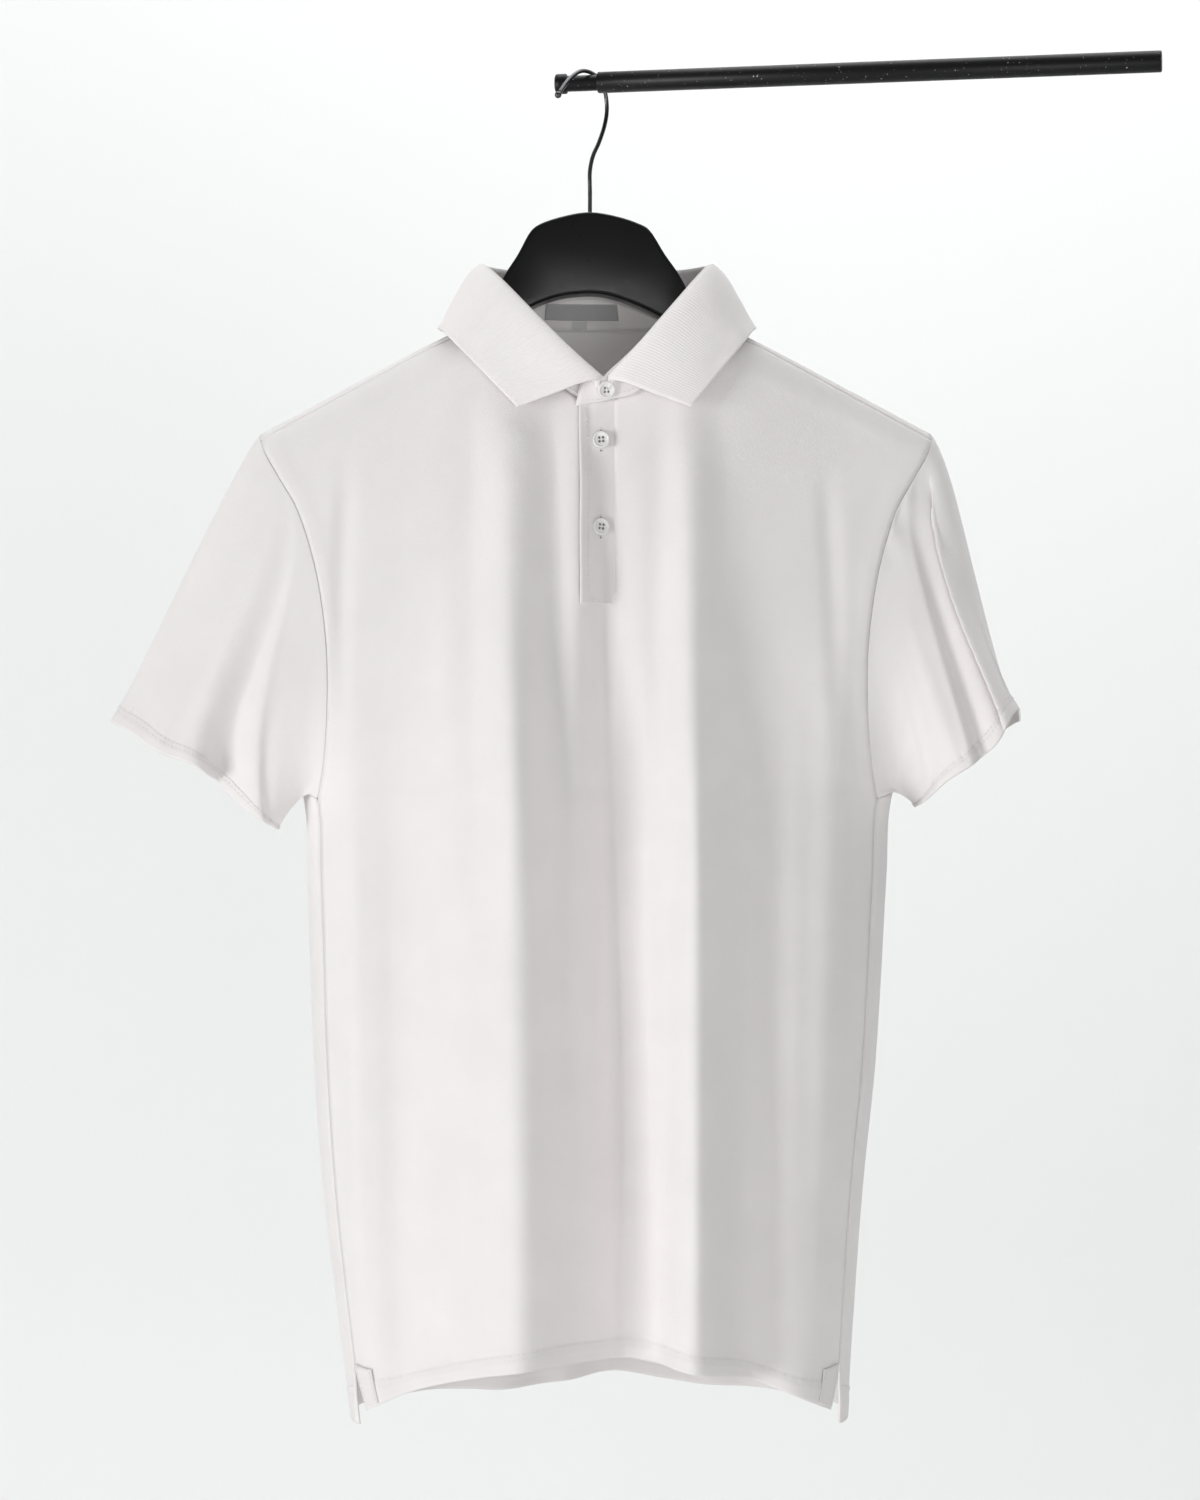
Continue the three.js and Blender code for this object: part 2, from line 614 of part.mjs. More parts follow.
// The armhole, round from the shoulder seam down the front and up the back, with the way off each panel
function armhole(side) {
  const edge = (sheet, last, row) => {
    const j = last ? sheet.points[0].length - 1 : 0;
    const point = sheet.points[row][j].clone();
    const beside = sheet.points[row][last ? j - 1 : 1];
    const facing = sheet.facing[row][j].clone();
    const along = sheet.points[row + 1][j].clone().sub(sheet.points[Math.max(row - 1, 0)][j]);
    const out = along.cross(facing).normalize();
    if (out.dot(point.clone().sub(beside)) < 0) out.negate();
    return { point, out, facing };
  };
  const join = (a, b) => ({
    point: a.point.clone().add(b.point).multiplyScalar(0.5),
    out: a.out.clone().add(b.out).normalize(),
    facing: a.facing.clone().add(b.facing).normalize(),
  });
  const down = upTo(UNDERARM_FRONT).map((row) => edge(front, side > 0, row));
  const up = upTo(UNDERARM_BACK).reverse().map((row) => edge(back, side < 0, row));
  const tip = join(down[0], up[up.length - 1]);
  const underarm = join(down[down.length - 1], up[0]);
  underarm.out.set(side, 0, 0.6).normalize();
  return { front: [tip, ...down.slice(1, -1), underarm], back: [...up.slice(1, -1)] };
}

// How far round each armhole point is: 0 at the shoulder tip, half at the underarm
function armholeShares(hole) {
  const loop = [...hole.front, ...hole.back, hole.front[0]];
  const lengths = [0];
  for (let i = 1; i < loop.length; i += 1) {
    lengths.push(lengths[i - 1] + loop[i].point.distanceTo(loop[i - 1].point));
  }
  const turn = hole.front.length - 1;
  const half = lengths[turn];
  const rest = lengths[lengths.length - 1] - half;
  return lengths.slice(0, -1).map((l, i) => (i <= turn ? (0.5 * l) / half : 0.5 + (0.5 * (l - half)) / rest));
}

const near = (a, b) => Math.abs(((a - b + 1.5) % 1) - 0.5);

function cuffAt(sleeve, share) {
  const outer = new THREE.Vector3(...sleeve.outer);
  const inner = new THREE.Vector3(...sleeve.inner);
  const middle = outer.clone().add(inner).multiplyScalar(0.5);
  const turn = 2 * Math.PI * share;
  const point = middle.clone().addScaledVector(outer.sub(middle), Math.cos(turn));
  point.y -= sleeve.depth * Math.sin(turn);
  point.z += sleeve.lift.height * bump(near(share, sleeve.lift.at) / sleeve.lift.width);
  return { point, middle };
}

// A sleeve leaves the armhole along the panels, bends down, and meets its cuff square.
function makeSleeve(sleeve) {
  const hole = armhole(sleeve.side);
  const shares = armholeShares(hole);
  const loop = [...hole.front, ...hole.back].map((spot, i) => ({ ...spot, share: shares[i] }));
  if (sleeve.side > 0) loop.reverse();
  const length = new THREE.Vector3(...sleeve.outer).sub(new THREE.Vector3(...sleeve.inner));
  const arrive = new THREE.Vector3(length.z, 0, -length.x).normalize().multiplyScalar(-sleeve.side);
  if (arrive.z > 0) arrive.negate();
  const points = upTo(SLEEVE_ROWS).map((row) =>
    loop.map((spot) => {
      const t = row / SLEEVE_ROWS;
      const cuff = cuffAt(sleeve, spot.share);
      const atTip = bump(near(spot.share, 0) / TIP_REACH);
      const corner = Math.max(atTip, bump(near(spot.share, 0.5) / UNDERARM_REACH));
      const start = spot.point.clone().addScaledVector(spot.out, SEAM_GAP + CORNER_GAP * corner);
      const straight = cuff.point.clone().sub(start).normalize();
      const low = bump(near(spot.share, 0.5) / UNDER_THE_ARM);
      const along = mix(SLEEVE_LEAVES.alongTop, 1, low);
      const leave = spot.out.clone().multiplyScalar(along).addScaledVector(straight, 1 - along);
      leave.setLength(SLEEVE_LEAVES.length * (1 - SLEEVE_LEAVES.lostBelow * low));
      const arriveLength = SLEEVE_ARRIVES.length * (1 - SLEEVE_ARRIVES.lostBelow * low);
      const come = arrive.clone().multiplyScalar(arriveLength);
      const point = start.multiplyScalar((1 + 2 * t) * (1 - t) * (1 - t));
      point.addScaledVector(cuff.point, t * t * (3 - 2 * t));
      point.addScaledVector(leave, t * (1 - t) * (1 - t)).addScaledVector(come, -t * t * (1 - t));
      const { top, cuff: at, width, height } = sleeve.trough;
      const middle = mix(top, at, Math.pow(t, 0.7));
      const trough = bump(near(spot.share, middle) / (width * mix(0.4, 1, t)));
      const inwards = cuff.middle.clone().sub(cuff.point).normalize();
      return point.addScaledVector(inwards, height * trough * Math.pow(t, 1.2));
    }),
  );
  return wall(points, CLOTH, { ring: true, normals: [loop.map((spot) => spot.facing)] });
}

// The collar's fold line and outer edge at a turn from the centre back
function collarAt(turn, side) {
  const middle = mix(COLLAR_MIDDLE.back, COLLAR_MIDDLE.front, Math.pow(turn / 180, 2));
  const column = (name) => read(COLLAR, "turn", name, turn);
  const way = new THREE.Vector3(side * Math.sin(deg(turn)), Math.cos(deg(turn)), 0);
  const fold = new THREE.Vector3(middle + side * column("foldHalf"), column("foldY"), -column("foldDown"));
  const edge = new THREE.Vector3(middle + side * column("edgeHalf"), column("edgeY"), -column("edgeDown"));
  return { fold, edge, way };
}

function makeCollar() {
  const turns = evenly(LEAF_GRID.columns, -180, 180);
  const rows = evenly(LEAF_GRID.rows, 0, 1);
  const points = rows.map((h) =>
    turns.map((t) => {
      const { fold, edge, way } = collarAt(Math.abs(t), t < 0 ? 1 : -1);
      const full = Math.sin(Math.PI * Math.sqrt(h));
      const point = fold.clone().lerp(edge, h).addScaledVector(way, LEAF_FULLNESS.out * full);
      point.z += LEAF_FULLNESS.up * full;
      return point;
    }),
  );
  return wall(points, COLLAR_CLOTH);
}

// The neckline on the panels' own top edges
function neckAt(turn, side) {
  if (turn <= NECK_SEAM_TURN) {
    const middle = SHOULDER_COLUMNS + NECK_COLUMNS;
    return between(back.points, 0, middle - (side * NECK_COLUMNS * turn) / NECK_SEAM_TURN);
  }
  const x = NECK_X + side * NECK_RING_HALF * Math.sin(deg(turn));
  return between(front.points, 0, placeIn(front.points[0].map((p) => p.x), x));
}

// The ends of the stand part as they come to the centre front, where one laps the other.
const lapAt = (turn) => smooth((turn - STAND_TURNS.lapFrom) / (180 - STAND_TURNS.lapFrom));

// The stand runs past the centre front at both ends, over itself.
function makeStand() {
  const whole = 180 + STAND.lap;
  const back = evenly(2 * NECK_COLUMNS, 0, NECK_SEAM_TURN);
  const front = evenly(STAND_TURNS.front, NECK_SEAM_TURN, STAND_TURNS.over).slice(1);
  const side = [...back, ...front, STAND_TURNS.past, whole];
  const turns = [...side.slice(1).reverse().map((turn) => -turn), ...side];
  const rows = evenly(3, 1, 0);
  const points = rows.map((h) =>
    turns.map((t) => {
      const past = Math.abs(t) > 180;
      const turn = past ? 360 - Math.abs(t) : Math.abs(t);
      const hand = t < 0 !== past ? 1 : -1;
      const { fold, way } = collarAt(turn, hand);
      const closed = STAND_LAP.foldGap * lapAt(turn);
      fold.x -= hand * closed;
      const foot = neckAt(turn, hand);
      const rise = fold.clone().sub(foot).normalize();
      foot.addScaledVector(rise, STAND.footGap);
      const head = fold.addScaledVector(way, -STAND.inside);
      head.z -= STAND.below;
      const round = past ? 1 - STAND_TURNS.round * Math.pow((Math.abs(t) - 180) / STAND.lap, 2) : 1;
      const point = foot.lerp(head, h * round);
      point.y += lapAt(Math.abs(t)) * (t < 0 ? -STAND_LAP.over : STAND_LAP.under);
      return point;
    }),
  );
  return { ...wall(points, STAND.cloth), turns };
}

// A point of a sheet between its grid points
function between(grid, i, j) {
  const r = Math.min(Math.floor(i), grid.length - 2);
  const c = Math.min(Math.floor(j), grid[0].length - 2);
  const above = grid[r][c].clone().lerp(grid[r][c + 1], j - c);
  const below = grid[r + 1][c].clone().lerp(grid[r + 1][c + 1], j - c);
  return above.lerp(below, i - r);
}

// A piece that lies on a sheet, made from the sheet's own points moved out
function laidOn(sheet, rows, cols, lift, thick) {
  const points = rows.map((i) =>
    cols.map((j) => {
      const facing = between(sheet.facing, i, j).normalize();
      return between(sheet.points, i, j).addScaledVector(facing, lift);
    }),
  );
  return wall(points, thick);
}

// The place of a value between the values of a rising list
function placeIn(list, value) {
  let i = 0;
  while (i < list.length - 2 && list[i + 1] < value) i += 1;
  return i + (value - list[i]) / (list[i + 1] - list[i]);
}

const frontColumn = (x) => placeIn(front.points[FRONT_OVER + 2].map((p) => p.x), x);
const frontRow = (down, j) => placeIn(front.points.map((row) => -row[Math.round(j)].z), down);

// The stations of a strip: its two ends and the grid lines between them
function stations(from, to) {
  const inside = [];
  for (let k = Math.ceil(from + 0.05); k < to - 0.05; k += 1) inside.push(k);
  return [from, ...inside, to];
}

function makePlacket({ left, right, bottom }, lift) {
  const cols = stations(frontColumn(left), frontColumn(right));
  const rows = stations(STRIP_TOP, frontRow(bottom, cols[1]));
  return laidOn(front, rows, cols, lift, CLOTH);
}

function makeButtonShape() {
  const { radius, thick, rim, holeRadius, holeAt } = BUTTON;
  const floor = thick - 0.6;
  const profile = [
    [0, 0], [radius * 0.85, 0], [radius, 0.7], [radius, thick - 0.4], [radius - 0.4, thick],
    [radius - rim, thick], [radius - rim - 0.5, floor], [0, floor],
  ].map(([r, z]) => new THREE.Vector2(r, z));
  let solid = solidOf(new THREE.LatheGeometry(profile, 20));
  for (const [x, z] of [[1, 1], [1, -1], [-1, 1], [-1, -1]]) {
    const drill = new THREE.CylinderGeometry(holeRadius, holeRadius, 3 * thick, 8);
    drill.translate((x * holeAt) / Math.SQRT2, thick / 2, (z * holeAt) / Math.SQRT2);
    solid = solid.subtract(solidOf(drill));
  }
  return geometryOf(solid);
}

// Puts a geometry whose axis is +Y on a spot, facing out of it.
function standing(geometry, spot, facing) {
  const turn = new THREE.Quaternion().setFromUnitVectors(new THREE.Vector3(0, 1, 0), facing);
  return geometry.clone().applyQuaternion(turn).translate(spot.x, spot.y, spot.z);
}

function solidOf(geometry) {
  const bare = geometry.clone();
  bare.deleteAttribute("normal");
  bare.deleteAttribute("uv");
  const merged = mergeVertices(bare, 1e-4);
  const triVerts = new Uint32Array(merged.index.array);
  const vertProperties = merged.attributes.position.array;
  return new wasm.Manifold(new wasm.Mesh({ numProp: 3, vertProperties, triVerts }));
}

function geometryOf(solid) {
  const mesh = solid.getMesh();
  const geometry = new THREE.BufferGeometry();
  geometry.setAttribute("position", new THREE.Float32BufferAttribute(mesh.vertProperties, 3));
  geometry.setIndex(Array.from(mesh.triVerts));
  return geometry;
}

// A closed body through rings of points
function loft(rings) {
  const count = rings[0].length;
  const vertices = rings.flat().flatMap((p) => [p.x, p.y, p.z]);
  const faces = [];
  for (let i = 0; i < rings.length - 1; i += 1) {
    for (let j = 0; j < count; j += 1) {
      const a = i * count + j;
      const b = i * count + ((j + 1) % count);
      faces.push(a, b, b + count, a, b + count, a + count);
    }
  }
  const end = (rings.length - 1) * count;
  for (let j = 1; j < count - 1; j += 1) {
    faces.push(0, j + 1, j, end, end + j, end + j + 1);
  }
  const geometry = new THREE.BufferGeometry();
  geometry.setAttribute("position", new THREE.Float32BufferAttribute(vertices, 3));
  geometry.setIndex(faces);
  return geometry;
}

// An arm lies under the shoulder: its top is the cloth's own roll, moved in.
function hangerArm(side) {
  const { from, to, below, stations: count, sides } = HANGER_ARM;
  const inside = CLOTH / Math.cos(Math.atan(SHOULDER_SLOPE)) + HANGER_CLEAR;
  const rings = evenly(count, 0, 1).map((t) => {
    const x = NECK_X + side * mix(from, to, t);
    const radius = rollRadius(x);
    const down = ridgeDown(x) + radius;
    const rounding = wrap((x - section(down, "middle")) / section(down, "half"));
    const root = mix(ARM_ENDS.root, 1, smooth(t / ARM_ENDS.rootLength));
    const late = smooth((t - ARM_ENDS.tipFrom) / (1 - ARM_ENDS.tipFrom));
    const tip = root * Math.sqrt(1 - ARM_ENDS.tipLoss * late * late);
    return upTo(sides - 1).map((k) => {
      const turn = (2 * Math.PI * k) / sides;
      const up = Math.sin(turn);
      const height = up > 0 ? radius - inside : below;
      const y = side * Math.cos(turn) * (radius * rounding - inside) * tip;
      return new THREE.Vector3(x, y, -down + up * height * tip);
    });
  });
  return loft(rings);
}

function makeHanger() {
  const along = (corners, count) => {
    const route = corners.map(([x, z]) => new THREE.Vector3(x, z, 0));
    const line = new THREE.CatmullRomCurve3(route, false, "centripetal");
    return line.getPoints(count).map((p) => new THREE.Vector2(p.x, p.y));
  };
  const outline = new THREE.Shape([...along(PLATE_TOP, 28), ...along(PLATE_ARCH, 18)]);
  const { thick, bevel } = HANGER_PLATE;
  const plate = new THREE.ExtrudeGeometry(outline, {
    depth: thick,
    bevelThickness: bevel,
    bevelSize: bevel,
    bevelOffset: -bevel,
    bevelSegments: 2,
  });
  plate.translate(0, 0, -thick / 2).rotateX(Math.PI / 2);
  let solid = solidOf(plate);
  for (const side of [-1, 1]) solid = solid.add(solidOf(hangerArm(side)));
  return geometryOf(solid);
}

function makeHook() {
  const along = new THREE.Vector3(-Math.sin(deg(HOOK.turn)), -Math.cos(deg(HOOK.turn)), 0);
  const line = HOOK_LINE.map(([a, z]) => along.clone().multiplyScalar(a).setZ(z));
  const path = new THREE.CatmullRomCurve3(line, false, "centripetal");
  const wire = new THREE.Shape().absarc(0, 0, HOOK.wire, 0, 2 * Math.PI);
  const end = line[line.length - 1];
  const ball = new THREE.SphereGeometry(HOOK.tip, 12, 8);
  const onwards = end.clone().sub(line[line.length - 2]).setLength(HOOK.tip + SEAM_GAP);
  ball.translate(end.x + onwards.x, end.y + onwards.y, end.z + onwards.z);
  return { wire: new THREE.ExtrudeGeometry(wire, { steps: 56, curveSegments: 4, extrudePath: path }), ball };
}

// A turned piece of the rod from its radii along the rod
function rodPiece(steps) {
  const profile = steps.map(([radius, along]) => new THREE.Vector2(radius, along));
  const piece = new THREE.LatheGeometry(profile, ROD.sides);
  piece.rotateZ(-Math.PI / 2);
  piece.rotateZ(-deg(ROD.turn));
  return piece.translate(0, 0, -ROD.neck);
}

const group = new THREE.Group();

function add(name, geometry, finish) {
  const mesh = new THREE.Mesh(geometry, new THREE.MeshStandardMaterial(finish));
  mesh.name = name;
  group.add(mesh);
  return mesh;
}

function addButton(name, sheet, i, j, lift) {
  const facing = between(sheet.facing, i, j).normalize();
  const spot = between(sheet.points, i, j).addScaledVector(facing, lift);
  add(name, standing(buttonShape, spot, facing), BUTTON_FINISH);
}

add("front", front.geometry, FABRIC);
add("back", back.geometry, FABRIC);

const sleeves = SLEEVES.map((sleeve) => ({ name: sleeve.name, ...makeSleeve(sleeve) }));
for (const sleeve of sleeves) add(sleeve.name, sleeve.geometry, FABRIC);

add("collar_leaf", makeCollar().geometry, FABRIC);
const stand = makeStand();
add("collar_stand", stand.geometry, FABRIC);
add("placket_upper", makePlacket(PLACKET, CLOTH + SEAM_GAP).geometry, FABRIC);
add("placket_under", makePlacket(UNDER_PLACKET, -CLOTH - SEAM_GAP).geometry, FABRIC);

for (const { name, side } of VENT_TAPES) {
  const last = front.points[0].length - 1;
  const { edge, inner, foot, top } = VENT_TAPE_PLACE;
  const cols = side < 0 ? [edge, 1, inner] : [last - inner, last - 1, last - edge];
  const bottom = front.points.length - 1 - foot;
  const rows = [bottom - top, bottom - top / 2, bottom];
  const tape = laidOn(front, rows, cols, TRIM_CLOTH + SEAM_GAP, TRIM_CLOTH);
  add(name, tape.geometry, FABRIC);
}

const standColumn = (turn) => stand.turns.findIndex((t) => t >= turn);
for (const { name, middle, half, top, bottom } of LABELS) {
  const at = standColumn(0) + middle;
  const cols = stations(at - half, at + half);
  const inwards = -STAND.cloth - SEAM_GAP;
  add(name, laidOn(stand, stations(top, bottom), cols, inwards, TRIM_CLOTH).geometry, LABEL_FINISH);
}

const patched = sleeves.find((sleeve) => sleeve.name === PATCH.on);
const patch = laidOn(patched, PATCH.rows, PATCH.columns, TRIM_CLOTH + SEAM_GAP, TRIM_CLOTH);
add("sleeve_patch", patch.geometry, PATCH_FINISH);

const buttonShape = makeButtonShape();
const lapped = stand.points[2].slice(0, 6).map((p) => p.x);
addButton(STAND_BUTTON.name, stand, STAND_BUTTON.row, placeIn(lapped, STAND_BUTTON.x), 2 * SEAM_GAP);
for (const { name, x, down } of PLACKET_BUTTONS) {
  const j = frontColumn(x);
  addButton(name, front, frontRow(down, j), j, CLOTH + 2 * SEAM_GAP);
}

add("hanger", makeHanger(), HANGER_FINISH);
const hook = makeHook();
add("hook", hook.wire, HOOK_FINISH);
add("hook_tip", hook.ball, HOOK_FINISH);
const { flange, neck, tube, end } = ROD_ENDS;
const rodEnd = [
  [0, flange], [ROD.flange, flange], [ROD.flange, neck],
  [ROD.neck, neck], [ROD.neck, tube - SEAM_GAP], [0, tube - SEAM_GAP],
];
add("rod_end", rodPiece(rodEnd), ROD_FINISH);
add("rod_tube", rodPiece([[0, tube], [ROD.tube, tube], [ROD.tube, end], [0, end]]), ROD_FINISH);

export default group;
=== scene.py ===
# %% [markdown]
# # A polo shirt on its hanger
#
# A white short-sleeved polo hangs on a wide black hanger, and the hanger's hook lies over a thin rod.
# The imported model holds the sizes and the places. This script dresses it: each panel is made again as
# a finer sheet on the same form, with its creases, seams, stitches and weave.
# Loading the frame comes first, because every piece below is placed in it.

# %% Load the frame
import math

import bmesh
import bpy
import numpy as np
from mathutils import Matrix, Vector


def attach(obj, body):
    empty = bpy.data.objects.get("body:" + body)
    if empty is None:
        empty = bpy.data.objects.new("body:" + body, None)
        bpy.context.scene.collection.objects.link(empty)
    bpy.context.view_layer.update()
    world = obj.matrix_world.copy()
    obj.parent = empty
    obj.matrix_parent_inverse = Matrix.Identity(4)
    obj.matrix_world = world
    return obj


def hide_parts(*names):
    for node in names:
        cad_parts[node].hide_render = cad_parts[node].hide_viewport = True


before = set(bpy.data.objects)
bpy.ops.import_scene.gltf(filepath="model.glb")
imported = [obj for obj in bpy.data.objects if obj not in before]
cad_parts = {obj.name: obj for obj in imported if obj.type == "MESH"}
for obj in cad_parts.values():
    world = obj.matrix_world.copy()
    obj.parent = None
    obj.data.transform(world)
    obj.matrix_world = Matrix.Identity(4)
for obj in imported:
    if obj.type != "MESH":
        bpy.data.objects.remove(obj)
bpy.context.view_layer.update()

# %% [markdown]
# ## Camera, light and floor
#
# A product photograph like this is taken level, from far away, with a long lens, so that the sides of
# the shirt don't turn away. One large soft light stands on the left, so every fold has a bright left
# flank and a grey right one, and a narrow one reaches into the neck. A pale sweep, a floor that curves
# up into a wall, leaves no horizon.

# %% Camera
PHOTO = {"width": 1200, "height": 1500}
EYE = (0.0067, -2.5, -0.45)
FOCAL_PIXELS = 3750
SENSOR = 36.0

camera_data = bpy.data.cameras.new("photo_camera")
camera_data.sensor_width = SENSOR
camera_data.lens = FOCAL_PIXELS / PHOTO["height"] * SENSOR
camera = bpy.data.objects.new("photo_camera", camera_data)
camera.location = EYE
camera.rotation_euler = (math.pi / 2, 0, 0)
bpy.context.scene.collection.objects.link(camera)
bpy.context.scene.camera = camera
print("lens:", camera_data.lens)

# %% Lights
AIM = (0.0, 0.0, -0.5)
LIGHTS = [
    {"name": "window_left", "at": (-4.2, -2.7, -0.7), "size": 1.8, "watts": 122.0},
    {"name": "low_front", "at": (0.9, -2.9, -1.1), "size": 1.5, "watts": 24.0},
    {"name": "wall_wash", "at": (0.5, 0.9, 1.9), "size": 2.6, "watts": 57.0, "aim": (0.6, 1.9, -0.6)},
]
SKY = {"colour": (0.98, 0.985, 1.0, 1.0), "strength": 0.29}

NECK_FILL = {
    "at": (0.0067, -2.4, -0.25), "aim": (0.0067, 0.03, -0.172),
    "angle": 2.8, "watts": 84.0, "radius": 0.08,
}


def aimed(name, light, at, aim):
    """Puts a light in its place, turned to what it lights."""
    lamp = bpy.data.objects.new(name, light)
    lamp.location = at
    lamp.rotation_euler = (Vector(aim) - lamp.location).to_track_quat("-Z", "Y").to_euler()
    bpy.context.scene.collection.objects.link(lamp)


for spec in LIGHTS:
    light = bpy.data.lights.new(spec["name"], "AREA")
    light.size = spec["size"]
    light.energy = spec["watts"]
    aimed(spec["name"], light, spec["at"], spec.get("aim", AIM))

snoot = bpy.data.lights.new("neck_fill", "SPOT")
snoot.energy = NECK_FILL["watts"]
snoot.spot_size = math.radians(NECK_FILL["angle"])
snoot.spot_blend = 1.0
snoot.shadow_soft_size = NECK_FILL["radius"]
aimed("neck_fill", snoot, NECK_FILL["at"], NECK_FILL["aim"])

bpy.context.scene.view_settings.view_transform = "Standard"
world = bpy.data.worlds.new("studio")
world.use_nodes = True
sky = world.node_tree.nodes["Background"]
sky.inputs["Color"].default_value = SKY["colour"]
sky.inputs["Strength"].default_value = SKY["strength"]
bpy.context.scene.world = world

# %% Floor and backdrop
SWEEP = {"floor": -2.0, "half": 5.0, "front": -4.5, "bend_from": 0.7, "radius": 1.0, "top": 3.5}


def sweep_profile():
    """The floor's line from the front, through its quarter bend, up the wall."""
    line = [(SWEEP["front"], SWEEP["floor"])]
    for k in range(17):
        turn = math.pi / 2 * k / 16
        along = SWEEP["bend_from"] + SWEEP["radius"] * math.sin(turn)
        line.append((along, SWEEP["floor"] + SWEEP["radius"] * (1 - math.cos(turn))))
    line.append((SWEEP["bend_from"] + SWEEP["radius"], SWEEP["top"]))
    return line


def make_sweep():
    """The sweep is clear from its back, so the shirt can be looked at from behind."""
    bm = bmesh.new()
    verts = [bm.verts.new((-SWEEP["half"], y, z)) for y, z in sweep_profile()]
    edges = [bm.edges.new(pair) for pair in zip(verts, verts[1:])]
    grown = bmesh.ops.extrude_edge_only(bm, edges=edges)
    moved = [g for g in grown["geom"] if isinstance(g, bmesh.types.BMVert)]
    bmesh.ops.translate(bm, verts=moved, vec=(2 * SWEEP["half"], 0, 0))
    bm.normal_update()
    if sum(face.normal.z - face.normal.y for face in bm.faces) < 0:
        bmesh.ops.reverse_faces(bm, faces=bm.faces[:])
    for face in bm.faces:
        face.smooth = True
    mesh = bpy.data.meshes.new("floor_sweep")
    bm.to_mesh(mesh)
    bm.free()
    sweep = bpy.data.objects.new("floor_sweep", mesh)
    bpy.context.scene.collection.objects.link(sweep)
    paint = bpy.data.materials.new("pale_floor")
    paint.use_nodes = True
    shader = paint.node_tree.nodes["Principled BSDF"]
    shader.inputs["Base Color"].default_value = (0.88, 0.89, 0.885, 1)
    shader.inputs["Roughness"].default_value = 0.9
    sides = paint.node_tree.nodes.new("ShaderNodeNewGeometry")
    clear = paint.node_tree.nodes.new("ShaderNodeBsdfTransparent")
    chosen = paint.node_tree.nodes.new("ShaderNodeMixShader")
    paint.node_tree.links.new(sides.outputs["Backfacing"], chosen.inputs[0])
    paint.node_tree.links.new(shader.outputs[0], chosen.inputs[1])
    paint.node_tree.links.new(clear.outputs[0], chosen.inputs[2])
    paint.node_tree.links.new(chosen.outputs[0], paint.node_tree.nodes["Material Output"].inputs["Surface"])
    mesh.materials.append(paint)


make_sweep()

# %% [markdown]
# ## The sizes of the shirt
#
# Lengths are in millimetres, as a pattern cutter writes them, and are turned into metres only when a
# mesh is made. A height is "down", the distance below the hook's crown. Each table below has a row
# for each section or fold, and a smooth curve runs through the rows.

# %% Driving sizes
MM = 0.001
CLOTH = 1.2
COLLAR_CLOTH = 1.6
TRIM_CLOTH = 0.8
SEAM_GAP = 0.3

NECK_X, NECK_HALF, NECK_DOWN, NECK_SOFT = 4, 85, 165, 14
SHOULDER_SLOPE, SHOULDER_TIP = 0.538, 223
NECK_ROLL, TIP_ROLL, SEAM_ARC = 37, 27, 17
SECTION_POWER = 2.6
FRONT_SWELL, FRONT_EASE = 30, 170
BACK_SWELL, BACK_EASE = 125, 330
SEAM_ANGLE, SEAM_TURN, UNDERARM_DOWN = 63, 0.14, 482
NECK_RING_HALF, NECK_RING_BACK, NECK_SEAM_TURN = 86, 37, 120
NECK_FRONT_ARC, NECK_FRONT_POWER, NECK_FRONT_SOFT = 78, 1.15, 0.18
FRONT_HEM = {"down": 848, "dip": 14.5, "power": 2.4, "middle": 7}
BACK_HEM = {"down": 899, "lift": 6, "at": 13, "half": 60, "reach": 160}
VENT_HEIGHT, VENT_TOP, VENT_OPEN, VENT_TURN = 38, 856, 5, 2.4


def table(columns, rows):
    """A table of named columns, as arrays."""
    return {name: np.array(values, float) for name, values in zip(columns.split(), zip(*rows))}


SECTIONS = table("down middle half widest", [
    (150, 4, 300, 0), (250, 4.5, 290, 0), (330, 5, 262, 3), (400, 5, 235, 12),
    (450, 5, 212, 22), (482, 5, 198, 30), (532, 4.7, 195.3, 34), (656, 3.3, 189.8, 40),
    (746, 2, 182.3, 43), (829, 3.9, 174.4, 45), (910, 6.7, 166.5, 46),
])
FRONT_ARMHOLE = table("down half", [
    (235, 224.5), (250, 221), (270, 210), (291, 198), (325, 187),
    (357, 181), (390, 178), (430, 178.5), (460, 181.5), (482, 186.1),
])
BACK_ARMHOLE = table("down angle", [
    (235, 136), (280, 136.5), (330, 135.7), (380, 133.4), (420, 127.7),
    (450, 119), (466, 106), (476, 86), (482, 63.14),
])
BACK_COLUMNS = table("down angle", [
    (250, 136), (400, 130), (450, 121), (482, 112), (540, 94), (600, 76), (660, 63.14),
])

# %% [markdown]
# ## Folds and creases
#
# Cloth on a hanger falls in long soft folds that start where it leaves the hanger and deepen down to
# the hem. The large ones have the same sizes as in the solids. The smaller creases are only here.
# Each row gives where a fold starts and ends, its line, its two flanks, its height outwards and how
# sharp its crest is, so no two are alike.

